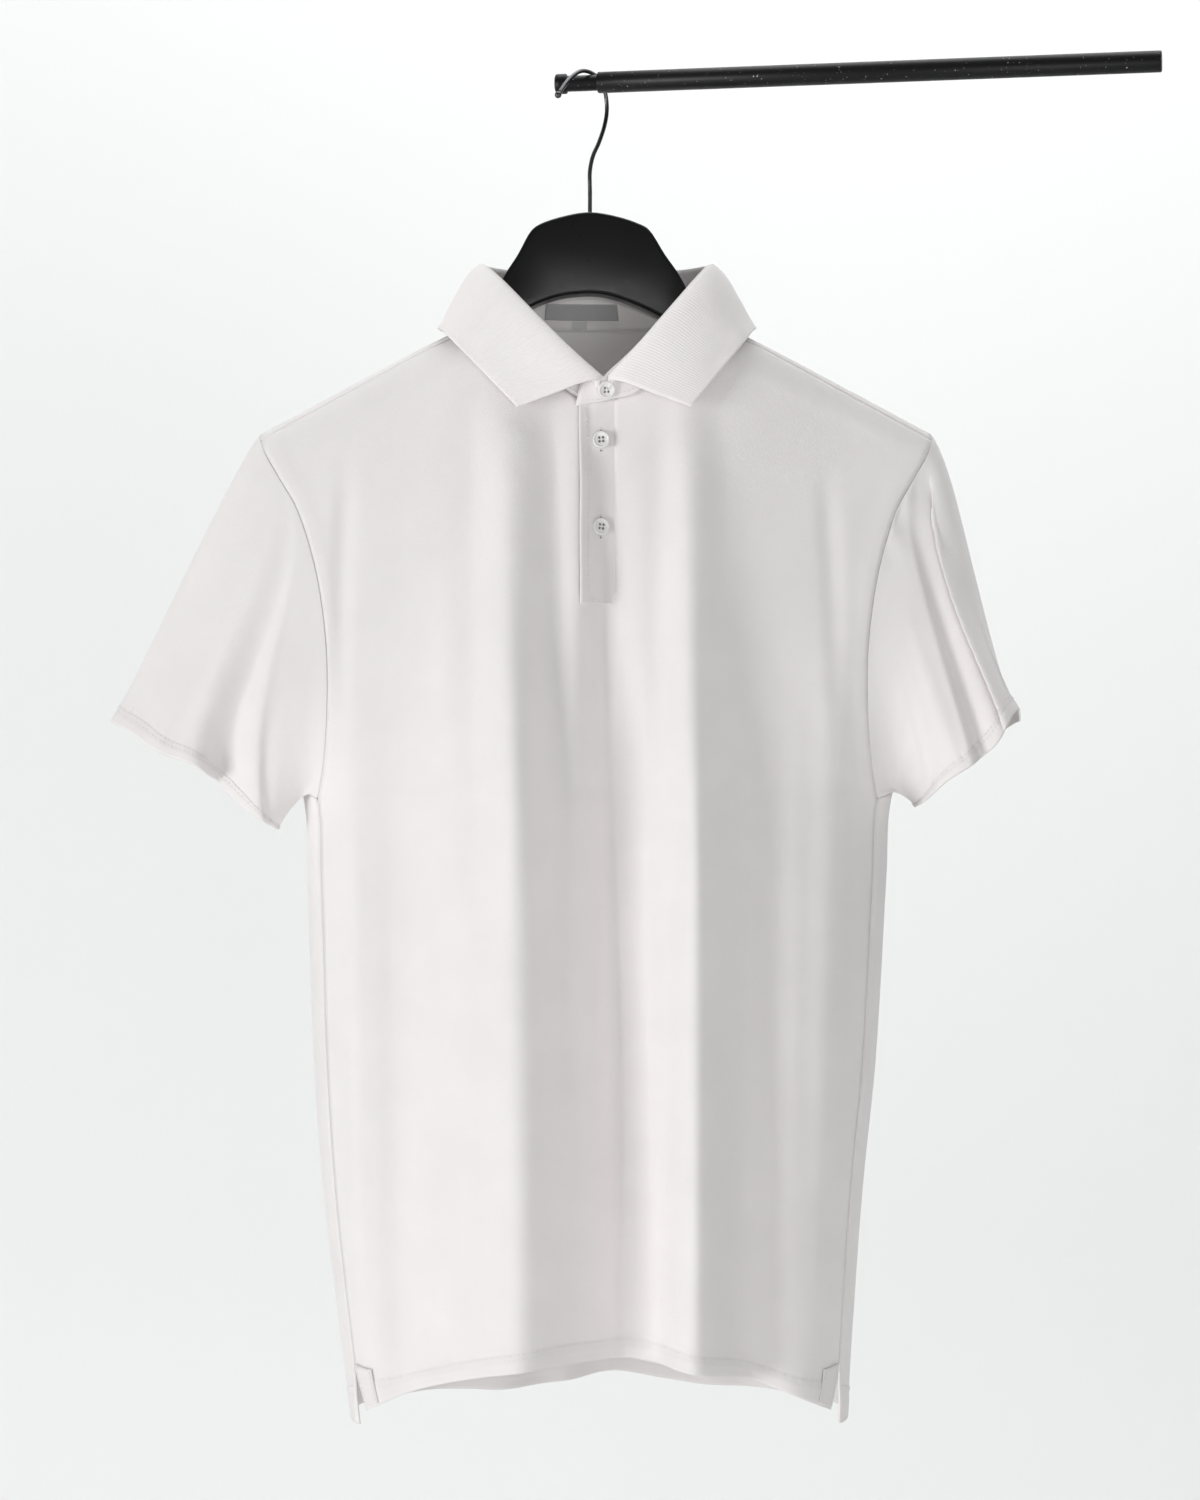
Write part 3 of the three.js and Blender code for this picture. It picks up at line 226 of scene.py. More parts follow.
# %% The tables of folds
FOLD_COLUMNS = "top bottom x_top x_bottom left right height sharp"
FRONT_FOLDS = table(FOLD_COLUMNS, [
    (320, 900, -160, -150, 22, 28, 7, 1),
    (330, 900, -128, -118, 26, 26, -7, 1),
    (205, 860, -62, -50, 66, 40, 22, 1),
    (330, 860, 14, 24, 40, 34, -24, 1),
    (190, 860, 62, 66, 24, 42, 22, 1),
    (260, 900, 112, 104, 30, 34, -9, 1),
    (300, 900, 158, 146, 34, 26, 9, 1),
])
FRONT_CREASES = table(FOLD_COLUMNS, [
    (185, 600, -54, -46, 28, 33, 13.0, 1.0),
    (360, 980, -46, -30, 34, 29, 9.5, 1.0),
    (205, 560, -9, -10, 18, 11, 4.5, 1.0),
    (205, 900, 7, 22, 12, 30, -8.0, 1.1),
    (185, 620, 64, 70, 20, 24, 8.5, 1.0),
    (400, 980, 70, 71, 13, 20, 7.0, 1.0),
    (470, 990, 53, 49, 14, 9, -3.5, 1.2),
    (330, 990, 164, 158, 24, 13, 4.5, 1.0),
    (420, 990, -158, -152, 11, 13, 3.5, 1.1),
    (300, 640, -96, -88, 14, 18, 1.4, 1.2),
    (430, 900, -100, -92, 18, 20, -1.8, 1.2),
    (560, 960, -4, 8, 12, 14, 2.0, 1.3),
    (430, 900, 104, 98, 12, 16, -2.4, 1.2),
    (420, 840, 134, 128, 12, 16, 1.8, 1.3),
    (250, 480, 154, 166, 11, 13, -2.4, 1.2),
    (245, 480, -160, -168, 11, 13, -2.8, 1.2),
])
BACK_FOLDS = table(FOLD_COLUMNS, [
    (300, 900, -118, -112, 34, 30, 12, 1),
    (340, 900, -66, -60, 30, 34, -16, 1),
    (280, 900, 10, 14, 34, 46, 34, 1),
    (360, 900, 84, 80, 30, 30, -12, 1),
    (300, 900, 132, 126, 30, 30, 10, 1),
])
BACK_CREASES = table(FOLD_COLUMNS, [
    (330, 760, -92, -84, 12, 14, 3.0, 1.2),
    (480, 960, -34, -30, 14, 14, -3.2, 1.2),
    (230, 520, -28, -20, 18, 22, 3.5, 1.1),
    (420, 920, 48, 54, 14, 12, -3.4, 1.2),
    (520, 960, 108, 102, 12, 14, 3.2, 1.2),
    (290, 600, -150, -158, 12, 12, -2.6, 1.2),
    (300, 560, 152, 160, 12, 12, -2.2, 1.2),
    (250, 640, 74, 88, 16, 20, 2.6, 1.2),
])


# %% Reading a table
def read(rows, key, column, at):
    """A column of a table on a smooth curve through its rows."""
    keys, values = rows[key], rows[column]
    last = len(keys) - 1
    before = np.maximum(np.arange(last + 1) - 1, 0)
    after = np.minimum(np.arange(last + 1) + 1, last)
    slopes = (values[after] - values[before]) / (keys[after] - keys[before])
    place = np.clip(at, keys[0], keys[last])
    i = np.clip(np.searchsorted(keys, place, side="right") - 1, 0, last - 1)
    span = keys[i + 1] - keys[i]
    t = (place - keys[i]) / span
    rise = t * t * (3 - 2 * t)
    leave = t * (1 - t) ** 2 * slopes[i] * span
    arrive = t * t * (1 - t) * slopes[i + 1] * span
    return values[i] + (values[i + 1] - values[i]) * rise + leave - arrive


def smooth(t):
    t = np.clip(t, 0, 1)
    return t * t * (3 - 2 * t)


def bump(t):
    return np.where(np.abs(t) < 1, 0.5 + 0.5 * np.cos(np.pi * np.clip(t, -1, 1)), 0)


def mix(a, b, t):
    return a + (b - a) * t


def section(down, column):
    return read(SECTIONS, "down", column, down)


def fold_height(folds, x, down):
    total = np.zeros(np.broadcast(x, down).shape)
    for k in range(len(folds["top"])):
        f = {name: values[k] for name, values in folds.items()}
        t = np.clip((down - f["top"]) / (f["bottom"] - f["top"]), 0, 1)
        away = x - mix(f["x_top"], f["x_bottom"], t)
        flank = np.where(away < 0, f["left"], f["right"])
        total += f["height"] * np.sqrt(t) * smooth(t * 3) * bump(away / flank) ** f["sharp"]
    return total


def crease_height(creases, x, down):
    """Creases grow fast from their top and fade before their foot."""
    total = np.zeros(np.broadcast(x, down).shape)
    for k in range(len(creases["top"])):
        f = {name: values[k] for name, values in creases.items()}
        t = np.clip((down - f["top"]) / (f["bottom"] - f["top"]), 0, 1)
        away = x - mix(f["x_top"], f["x_bottom"], t)
        flank = np.where(away < 0, f["left"], f["right"])
        grown = smooth(t * 4.5) * smooth((1 - t) * 2.4)
        total += f["height"] * grown * bump(away / flank) ** f["sharp"]
    return total


# %% [markdown]
# ## The form of the body
#
# The shoulders roll over the hanger's arms, and below them the cloth swells away from the hanger and
# rounds back to the side seams. The section is a superellipse, fuller than an oval, because hanging
# cloth keeps two flat faces. These functions give a point of the front or of the back.

# %% Shoulders and sections
def ridge_down(x):
    past = np.abs(x - NECK_X) - NECK_HALF
    return NECK_DOWN + SHOULDER_SLOPE * (past + np.hypot(past, NECK_SOFT)) / 2


def roll_radius(x):
    return mix(NECK_ROLL, TIP_ROLL, smooth((np.abs(x - NECK_X) - 40) / 150))


def fall_after(arc, x):
    """The fall below the shoulder ridge after an arc over the hanger."""
    radius = roll_radius(x)
    quarter = radius * np.pi / 2
    over = np.abs(arc)
    rolled = radius * (1 - np.cos(np.minimum(over, quarter) / radius))
    return np.where(over < quarter, rolled, radius + over - quarter)


def reach(x, down, swell, ease):
    radius = roll_radius(x)
    fall = np.maximum(down - ridge_down(x), 0)
    left = 1 - np.minimum(fall, radius) / radius
    return radius * np.sqrt(1 - left ** 2) + swell * (1 - np.exp(-np.maximum(fall - radius, 0) / ease))


def wrap(share):
    s = np.minimum(np.abs(share), 1)
    return (1 - s ** SECTION_POWER) ** (1 / SECTION_POWER)


def front_y(x, down):
    widest = section(down, "widest")
    rounding = wrap((x - section(down, "middle")) / section(down, "half"))
    folds = fold_height(FRONT_FOLDS, x, down) + crease_height(FRONT_CREASES, x, down)
    return widest - (widest + reach(x, down, FRONT_SWELL, FRONT_EASE) + folds) * rounding


def back_y(x, down):
    widest = section(down, "widest")
    rounding = wrap((x - section(down, "middle")) / section(down, "half"))
    folds = fold_height(BACK_FOLDS, x, down) + crease_height(BACK_CREASES, x, down)
    return widest + (reach(x, down, BACK_SWELL, BACK_EASE) - widest + folds) * rounding


def body_at(angle, down):
    """A point of the body at an angle round its section, from the centre front."""
    s, c = np.sin(np.radians(angle)), np.cos(np.radians(angle))
    size = (np.abs(s) ** SECTION_POWER + np.abs(c) ** SECTION_POWER) ** (-1 / SECTION_POWER)
    x = section(down, "middle") + section(down, "half") * size * s
    y = np.where(c >= 0, front_y(x, down), back_y(x, down))
    return np.stack(np.broadcast_arrays(x, y, -down), axis=-1)


def shoulder_at(x, arc):
    down = ridge_down(x) + fall_after(arc, x)
    y = np.where(arc < 0, front_y(x, down), back_y(x, down))
    return np.stack(np.broadcast_arrays(x, y, -down), axis=-1)


# %% The front's edges and rows
ROWS = {"above": 9, "below": 11, "vent": 2, "front_over": 3, "back_over": 6}
FRONT_OVER_ARC, BACK_OVER_SHORT, ROW_CLOSING, SETTLING_STEPS = 27, 2, 1.25, 8
SHOULDER_SEAM_GAP, MIDDLE_HALF = 0.7, 185


def row_down(top, hem, share, row):
    closed = 1 - (1 - np.clip(row / ROWS["above"], 0, 1)) ** ROW_CLOSING
    knee = mix(hem - VENT_HEIGHT / 2, VENT_TOP, np.abs(share) ** 3)
    even = ROWS["below"] - ROWS["vent"]
    below = mix(UNDERARM_DOWN, knee, np.clip((row - ROWS["above"]) / even, 0, 1))
    vent = mix(knee, hem, np.clip((row - ROWS["above"] - even) / ROWS["vent"], 0, 1))
    low = np.where(row <= ROWS["above"] + even, below, vent)
    return np.where(row <= ROWS["above"], mix(top, UNDERARM_DOWN, closed), low)


def front_top_arc(x):
    share = np.abs(x - NECK_X) / NECK_RING_HALF
    turn = 180 - np.degrees(np.arcsin(np.clip(share, 0, 1)))
    t = np.clip((turn - NECK_SEAM_TURN) / (180 - NECK_SEAM_TURN), 0, 1)
    left = np.hypot(1 - t, NECK_FRONT_SOFT) - NECK_FRONT_SOFT
    climbed = 1 - left / (math.hypot(1, NECK_FRONT_SOFT) - NECK_FRONT_SOFT)
    inside = SEAM_ARC + (NECK_FRONT_ARC - SEAM_ARC) * climbed ** NECK_FRONT_POWER
    return np.where(share >= math.sin(math.radians(NECK_SEAM_TURN)), SEAM_ARC, inside)


def front_hem_down(x):
    away = np.abs(x - FRONT_HEM["middle"]) / 100
    return FRONT_HEM["down"] + FRONT_HEM["dip"] * away ** FRONT_HEM["power"]


def back_hem_down(x):
    return BACK_HEM["down"] - BACK_HEM["lift"] * bump((x - BACK_HEM["at"]) / BACK_HEM["half"])


def front_half(down):
    seam = body_at(SEAM_ANGLE, down)[..., 0] - section(down, "middle")
    low = seam - VENT_OPEN * smooth((down - VENT_TOP) / VENT_HEIGHT)
    return np.where(down < UNDERARM_DOWN, read(FRONT_ARMHOLE, "down", "half", down), low)


def front_x(share, down):
    extra = front_half(down) - SEAM_GAP / 2 - MIDDLE_HALF
    return section(down, "middle") + share * (MIDDLE_HALF + extra * share * share)


def front_point(share, row):
    """A point of the front panel by its share of the half width and its row from the top."""
    share, row = np.broadcast_arrays(np.asarray(share, float), np.asarray(row, float))
    x = front_x(share, UNDERARM_DOWN / 2)
    for _ in range(SETTLING_STEPS):
        x = front_x(share, ridge_down(x) + fall_after(front_top_arc(x), x))
    over = np.clip(row / ROWS["front_over"], 0, 1)
    arc = front_top_arc(x) + SHOULDER_SEAM_GAP / 2 + FRONT_OVER_ARC * over
    for _ in range(SETTLING_STEPS):
        x = front_x(share, ridge_down(x) + fall_after(arc, x))
    start = ridge_down(x) + fall_after(arc, x)
    hem = front_hem_down(front_x(share, front_hem_down(share * MIDDLE_HALF)))
    low = row_down(start, hem, share, row - ROWS["front_over"])
    down = np.where(row <= ROWS["front_over"], start, low)
    x = np.where(row <= ROWS["front_over"], x, front_x(share, down))
    return np.stack([x, front_y(x, down), -down], axis=-1)


# %% The back's edges and rows
NECK_SHARE, NECK_BOW = 0.42, 18
NECK_RISE = {"height": 15, "turn": 100}


def back_top(share):
    side = np.where(share < 0, -1, 1)
    out = np.abs(share)
    start = NECK_RING_HALF * math.sin(math.radians(NECK_SEAM_TURN))
    t = np.clip((out - NECK_SHARE) / (1 - NECK_SHARE), 0, 1)
    turn = np.radians(NECK_SEAM_TURN * np.clip(out / NECK_SHARE, 0, 1))
    on_seam = out >= NECK_SHARE
    x = np.where(on_seam, mix(start, SHOULDER_TIP, t), NECK_RING_HALF * np.sin(turn))
    arc = np.where(on_seam, -SEAM_ARC, NECK_RING_BACK * np.cos(turn))
    return NECK_X + side * x, arc


def back_ridge_x(share):
    out = np.abs(share)
    past = np.clip((out - NECK_SHARE) / (1 - NECK_SHARE), 0, 1)
    near = np.minimum(out / NECK_SHARE, 1)
    return NECK_X + np.sign(share) * (NECK_HALF * near + (SHOULDER_TIP - NECK_HALF) * past)


def neck_bow(share):
    out = np.abs(share)
    past = np.clip((out - NECK_SHARE) / (1 - NECK_SHARE), 0, 1)
    near = np.minimum(out / NECK_SHARE, 1)
    return np.sign(share) * NECK_BOW * smooth(near) ** 1.5 * (1 - smooth(past))


def neck_rise(share):
    turn = NECK_SEAM_TURN * np.minimum(np.abs(share) / NECK_SHARE, 1)
    return NECK_RISE["height"] * bump(turn / NECK_RISE["turn"])


def back_angle(share, down):
    opened = VENT_TURN * smooth((down - VENT_TOP) / VENT_HEIGHT)
    low = SEAM_ANGLE + SEAM_TURN + opened
    edge = np.where(down < UNDERARM_DOWN, read(BACK_ARMHOLE, "down", "angle", down), low)
    inner = np.maximum(read(BACK_COLUMNS, "down", "angle", down), SEAM_ANGLE + SEAM_TURN)
    return 180 + share * (180 - inner) + share ** 5 * (inner - edge)


def back_point(share, row):
    """A point of the back panel by its share of the half width and its row from the top."""
    share, row = np.broadcast_arrays(np.asarray(share, float), np.asarray(row, float))
    over = ROWS["back_over"]
    top_x, top_arc = back_top(share)
    ridge_x = back_ridge_x(share)
    quarter = roll_radius(ridge_x) * np.pi / 2 - BACK_OVER_SHORT
    t = np.clip(row / over, 0, 1)
    arc = mix(top_arc + SHOULDER_SEAM_GAP / 2, quarter, t)
    rolled = shoulder_at(mix(top_x, ridge_x, t) + neck_bow(share) * np.sin(np.pi * t), arc)
    rolled[..., 2] += neck_rise(share) * (1 - t) ** 2
    start = ridge_down(ridge_x) + fall_after(quarter, ridge_x)
    down = row_down(start, back_hem_down(share * BACK_HEM["reach"]), share, np.maximum(row - over, 0))
    settled = smooth((row - over) / (ROWS["above"] - 1))
    hung = body_at(back_angle(-share, down), down)
    x = mix(ridge_x, hung[..., 0], settled)
    mixed = np.stack([x, back_y(x, down), -down], axis=-1)
    below = np.where((settled == 1)[..., None], hung, mixed)
    return np.where((row <= over)[..., None], rolled, below)


print("centre front hem:", front_point(0.0, 23.0), "centre back hem:", back_point(0.0, 26.0))

# %% [markdown]
# ## Finishes
#
# Up close the cloth is a fine cotton pique: small raised cells in staggered rows, with a soft fuzz.
# The pattern is built once as a node group that reads the piece's own UV map, where one unit is one
# metre of cloth, so the cells keep their real size on every panel. The group gives a height, a tone
# (random mottling, plus painted shade that darkens the cells' hollows) and a roughness, and each
# material feeds them to its own shader.

# %% A node group for woven and knitted cloth
def new_group(name, sockets):
    group = bpy.data.node_groups.new(name, "ShaderNodeTree")
    for way, label, kind, value in sockets:
        socket = group.interface.new_socket(name=label, in_out=way, socket_type=kind)
        if value is not None:
            socket.default_value = value
    return group, group.nodes.new("NodeGroupInput"), group.nodes.new("NodeGroupOutput")


def math_node(tree, operation, first, second=None):
    node = tree.nodes.new("ShaderNodeMath")
    node.operation = operation
    for slot, value in enumerate((first, second)):
        if value is None:
            continue
        if isinstance(value, (int, float)):
            node.inputs[slot].default_value = value
        else:
            tree.links.new(value, node.inputs[slot])
    return node.outputs[0]


def make_cloth_group():
    """Cells of a pique knit from two crossed waves, with a finer fuzz, slow mottling, and painted shade that
    darkens the cells' hollows.
    """
    group, given, out = new_group("pique_cloth", [
        ("INPUT", "UV", "NodeSocketVector", None),
        ("INPUT", "Cell mm", "NodeSocketFloat", 1.0),
        ("INPUT", "Rib", "NodeSocketFloat", 0.0),
        ("OUTPUT", "Height", "NodeSocketFloat", None),
        ("OUTPUT", "Shade", "NodeSocketFloat", None),
        ("OUTPUT", "Roughness", "NodeSocketFloat", None),
    ])
    split = group.nodes.new("ShaderNodeSeparateXYZ")
    group.links.new(given.outputs["UV"], split.inputs[0])
    per_cell = math_node(group, "DIVIDE", 2000 * math.pi, given.outputs["Cell mm"])
    across = math_node(group, "SINE", math_node(group, "MULTIPLY", split.outputs[0], per_cell))
    along = math_node(group, "SINE", math_node(group, "MULTIPLY", split.outputs[1], per_cell))
    cells = math_node(group, "MULTIPLY", across, along)
    knit = math_node(group, "MULTIPLY", cells, math_node(group, "SUBTRACT", 1.0, given.outputs["Rib"]))
    ribs = math_node(group, "MULTIPLY", across, given.outputs["Rib"])
    fuzz = group.nodes.new("ShaderNodeTexNoise")
    fuzz.inputs["Scale"].default_value = 1400
    fuzz.inputs["Detail"].default_value = 3
    group.links.new(given.outputs["UV"], fuzz.inputs["Vector"])
    height = math_node(group, "ADD", math_node(group, "ADD", knit, ribs), fuzz.outputs[0])
    group.links.new(height, out.inputs["Height"])
    mottle = group.nodes.new("ShaderNodeTexNoise")
    mottle.inputs["Scale"].default_value = 22
    mottle.inputs["Detail"].default_value = 5
    group.links.new(given.outputs["UV"], mottle.inputs["Vector"])
    slow = math_node(group, "MULTIPLY", math_node(group, "SUBTRACT", mottle.outputs[0], 0.5), 0.10)
    fine = math_node(group, "MULTIPLY", math_node(group, "SUBTRACT", fuzz.outputs[0], 0.5), 0.10)
    # Painted shade: the colour follows the knit's height, darker in the cells' hollows and lighter on their
    # tops.
    cell_hollow_painted_shade = math_node(group, "MULTIPLY", height, 0.018)
    shade = math_node(group, "ADD", math_node(group, "ADD", slow, fine), cell_hollow_painted_shade)
    group.links.new(math_node(group, "ADD", shade, 1.0), out.inputs["Shade"])
    rough = math_node(group, "ADD", math_node(group, "MULTIPLY", fuzz.outputs[0], 0.15), 0.78)
    group.links.new(rough, out.inputs["Roughness"])
    return group


CLOTH_GROUP = make_cloth_group()


THROUGH = {"weight": 0.12, "reach": 0.003}


def cloth_material(name, colour, cell, rib=0.0, depth=0.0004, sheen=0.25):
    """White cotton: the knit's height as bump, its random tone and painted shade over the colour, and a soft
    sheen.
    """
    material = bpy.data.materials.new(name)
    material.use_nodes = True
    tree = material.node_tree
    shader = tree.nodes["Principled BSDF"]
    uv = tree.nodes.new("ShaderNodeUVMap")
    uv.uv_map = "cloth"
    knit = tree.nodes.new("ShaderNodeGroup")
    knit.node_tree = CLOTH_GROUP
    knit.inputs["Cell mm"].default_value = cell
    knit.inputs["Rib"].default_value = rib
    tree.links.new(uv.outputs[0], knit.inputs["UV"])
    tint = tree.nodes.new("ShaderNodeMix")
    tint.data_type = "RGBA"
    tint.blend_type = "MULTIPLY"
    tint.inputs["Factor"].default_value = 1.0
    tint.inputs["A"].default_value = (*colour, 1)
    grey = tree.nodes.new("ShaderNodeCombineColor")
    for channel in ("Red", "Green", "Blue"):
        tree.links.new(knit.outputs["Shade"], grey.inputs[channel])
    tree.links.new(grey.outputs[0], tint.inputs["B"])
    tree.links.new(tint.outputs["Result"], shader.inputs["Base Color"])
    tree.links.new(knit.outputs["Roughness"], shader.inputs["Roughness"])
    raised = tree.nodes.new("ShaderNodeBump")
    raised.inputs["Strength"].default_value = 0.35
    raised.inputs["Distance"].default_value = depth
    tree.links.new(knit.outputs["Height"], raised.inputs["Height"])
    tree.links.new(raised.outputs[0], shader.inputs["Normal"])
    shader.inputs["Subsurface Weight"].default_value = THROUGH["weight"]
    shader.inputs["Subsurface Scale"].default_value = THROUGH["reach"]
    shader.inputs["Subsurface Radius"].default_value = (1.0, 0.85, 0.8)
    shader.inputs["Sheen Weight"].default_value = sheen
    shader.inputs["Sheen Roughness"].default_value = 0.5
    shader.inputs["Specular IOR Level"].default_value = 0.25
    return material


WHITE = (0.885, 0.848, 0.84)
BODY_CLOTH = cloth_material("white_pique", WHITE, 0.9)
BAND_CLOTH = cloth_material("white_band", (0.86, 0.822, 0.814), 0.7, depth=0.0003)
RIB_CLOTH = cloth_material("white_rib", (0.875, 0.838, 0.83), 1.6, rib=0.8, depth=0.0003)
THREAD = cloth_material("white_thread", (0.84, 0.805, 0.795), 0.5, rib=1.0, depth=0.0002)
# A near-black laid in the buttonhole slits and the button holes: painted shade, where those openings look
# dark.
SLIT_AND_HOLE_PAINTED_SHADE = cloth_material("painted_shade_dark", (0.16, 0.15, 0.148), 0.5, rib=1.0, depth=0.0002, sheen=0.1)
LABEL_CLOTH = cloth_material("grey_label", (0.42, 0.42, 0.425), 0.35, rib=0.5, depth=0.0002, sheen=0.1)
TAB_CLOTH = cloth_material("pale_tab", (0.62, 0.615, 0.61), 0.35, rib=0.5, depth=0.0002, sheen=0.1)
PATCH_CLOTH = cloth_material("dark_patch", (0.05, 0.05, 0.055), 0.5, rib=0.3, depth=0.0003)


# %% Hard finishes
def worn_material(name, colour, rough, metal=0.0, wear=0.0, wear_colour=(0.5, 0.5, 0.5), coat=0.0, gloss=0.5):
    """Lacquer, plastic or plating with a faint orange peel, dull patches and a little wear."""
    material = bpy.data.materials.new(name)
    material.use_nodes = True
    tree = material.node_tree
    shader = tree.nodes["Principled BSDF"]
    place = tree.nodes.new("ShaderNodeTexCoord").outputs["Object"]
    peel = tree.nodes.new("ShaderNodeTexNoise")
    peel.inputs["Scale"].default_value = 240
    peel.inputs["Detail"].default_value = 3
    specks = tree.nodes.new("ShaderNodeTexNoise")
    specks.inputs["Scale"].default_value = 700
    specks.inputs["Detail"].default_value = 6
    for node in (peel, specks):
        tree.links.new(place, node.inputs["Vector"])
    ramp = tree.nodes.new("ShaderNodeValToRGB")
    ramp.color_ramp.elements[0].position = 0.72 - 0.1 * wear
    ramp.color_ramp.elements[1].position = 0.78 - 0.1 * wear
    ramp.color_ramp.elements[0].color = (*colour, 1)
    ramp.color_ramp.elements[1].color = (*(wear_colour if wear else colour), 1)
    tree.links.new(specks.outputs[0], ramp.inputs[0])
    tree.links.new(ramp.outputs[0], shader.inputs["Base Color"])
    dull = math_node(tree, "MULTIPLY", peel.outputs[0], 0.12)
    tree.links.new(math_node(tree, "ADD", dull, rough - 0.06), shader.inputs["Roughness"])
    raised = tree.nodes.new("ShaderNodeBump")
    raised.inputs["Strength"].default_value = 0.12
    raised.inputs["Distance"].default_value = 0.0002
    tree.links.new(peel.outputs[0], raised.inputs["Height"])
    tree.links.new(raised.outputs[0], shader.inputs["Normal"])
    shader.inputs["Metallic"].default_value = metal
    shader.inputs["Specular IOR Level"].default_value = gloss
    shader.inputs["Coat Weight"].default_value = coat
    shader.inputs["Coat Roughness"].default_value = 0.15
    return material


BUTTON_PLASTIC = worn_material("pearl_button", (0.80, 0.785, 0.775), 0.32, coat=0.3)
HANGER_LACQUER = worn_material("black_lacquer", (0.003, 0.003, 0.0032), 0.3, gloss=0.22)
HOOK_PLATING = worn_material("dark_plating", (0.10, 0.10, 0.105), 0.22, metal=1.0)
ROD_PAINT = worn_material("black_rod_paint", (0.004, 0.004, 0.0045), 0.4, wear=0.4, gloss=0.25)
print("materials:", len(bpy.data.materials))

# %% [markdown]
# ## Helpers for sheets and trims
#
# A panel starts as a flat grid. Each vertex is then moved to its place on the form, and the flat
# place is kept as the UV map, as a pattern piece keeps its own grain. A Solidify modifier gives the
# cloth its thickness, inwards, so the outer face keeps the form's true size.

# %% Making a piece
def link(name, mesh, material):
    mesh.materials.append(material)
    piece = bpy.data.objects.new(name, mesh)
    bpy.context.scene.collection.objects.link(piece)
    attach(piece, "root")
    return piece


def finish_mesh(bm, name, material):
    for face in bm.faces:
        face.smooth = True
    mesh = bpy.data.meshes.new(name)
    bm.to_mesh(mesh)
    bm.free()
    return link(name, mesh, material)


def cloth_grid(name, columns, rows, place, size, material, thick=CLOTH, drop=None, ring=False):
    """A sheet on a form. place takes u from 0 to 1 and v from 0 at the foot to 1 at the top."""
    bm = bmesh.new()
    bmesh.ops.create_grid(bm, x_segments=columns, y_segments=rows, size=0.5)
    u = np.clip(np.array([v.co.x + 0.5 for v in bm.verts]), 0, 1)
    v = np.clip(np.array([v.co.y + 0.5 for v in bm.verts]), 0, 1)
    spots = place(u, v)
    uv = bm.loops.layers.uv.new("cloth")
    for face in bm.faces:
        for loop in face.loops:
            i = loop.vert.index
            loop[uv].uv = (u[i] * size[0] * MM, v[i] * size[1] * MM)
    for vert, spot in zip(bm.verts, spots):
        vert.co = spot * MM
    if drop is not None:
        gone = [f for f in bm.faces if drop(*(np.array(f.calc_center_median()) / MM))]
        bmesh.ops.delete(bm, geom=gone, context="FACES")
    if ring:
        bmesh.ops.remove_doubles(bm, verts=bm.verts[:], dist=1e-6)
    piece = finish_mesh(bm, name, material)
    wall = piece.modifiers.new("thickness", "SOLIDIFY")
    wall.thickness = thick * MM
    wall.offset = -1
    wall.use_even_offset = False
    return piece


def normals_of(place, u, v, step=0.004):
    """The outward way of a sheet, from its own places."""
    across = place(np.minimum(u + step, 1), v) - place(np.maximum(u - step, 0), v)
    up = place(u, np.minimum(v + step, 1)) - place(u, np.maximum(v - step, 0))
    normal = np.cross(across, up)
    return normal / np.linalg.norm(normal, axis=-1, keepdims=True)


def lifted(place, height):
    """The same sheet moved out along its own normals; height may change over it."""
    def moved(u, v):
        lift = height(u, v) if callable(height) else height
        return place(u, v) + normals_of(place, u, v) * np.reshape(lift, (-1, 1))
    return moved


# %% Stitches
STITCH = {"pitch": 3.1, "length": 2.3, "width": 0.62, "sunk": 0.12}


def stitch_row(points, outwards, pitch, width):
    """A row of thread stitches along a line on the cloth, each a small rounded lozenge."""
    points, outwards = np.asarray(points, float), np.asarray(outwards, float)
    steps = np.linalg.norm(np.diff(points, axis=0), axis=1)
    run = np.concatenate([[0], np.cumsum(steps)])
    count = max(int(run[-1] / pitch), 1)
    at = (np.arange(count) + 0.5) * run[-1] / count
    bm = bmesh.new()
    bmesh.ops.create_icosphere(bm, subdivisions=1, radius=0.5)
    seed_verts = np.array([v.co[:] for v in bm.verts])
    seed_faces = [[v.index for v in f.verts] for f in bm.faces]
    bm.free()
    length = STITCH["length"] * pitch / STITCH["pitch"]
    verts, faces = [], []
    for distance in at:
        readings = ((distance, points), (distance + 1, points), (distance - 1, points), (distance, outwards))
        spot, ahead, behind, out = (
            np.array([np.interp(d, run, line[:, k]) for k in range(3)]) for d, line in readings
        )
        along = ahead - behind
        along /= np.linalg.norm(along)
        out -= along * (out @ along)
        out /= np.linalg.norm(out)
        side = np.cross(out, along)
        frame_of = np.stack([along * length, side * width, out * width * 0.8])
        base = len(verts)
        verts.extend(seed_verts @ frame_of + spot + out * (width * 0.4 - STITCH["sunk"]))
        faces.extend([base + i for i in face] for face in seed_faces)
    return np.array(verts) * MM, faces


def join_stitches(name, rows, material=None, pitch=STITCH["pitch"], width=STITCH["width"]):
    """Joins rows of stitches into one piece."""
    verts, faces = [], []
    for points, outwards in rows:
        some, their = stitch_row(points, outwards, pitch, width)
        base = len(verts)
        verts.extend(some)
        faces.extend([base + i for i in face] for face in their)
    mesh = bpy.data.meshes.new(name)
    mesh.from_pydata([tuple(v) for v in verts], [], faces)
    mesh.uv_layers.new(name="cloth")
    mesh.polygons.foreach_set("use_smooth", [True] * len(mesh.polygons))
    piece = link(name, mesh, material or THREAD)
    print(name, "stitches' faces:", len(faces))
    return piece

# %% [markdown]
# ## Front and back panels
#
# The front is one pattern piece with a slot cut for the placket. A sewn edge is never quite flat: the
# seam allowance inside lifts the cloth beside an armhole, and a hem is two layers that pucker at its
# stitches. Those small heights are added along the panel's own normals.

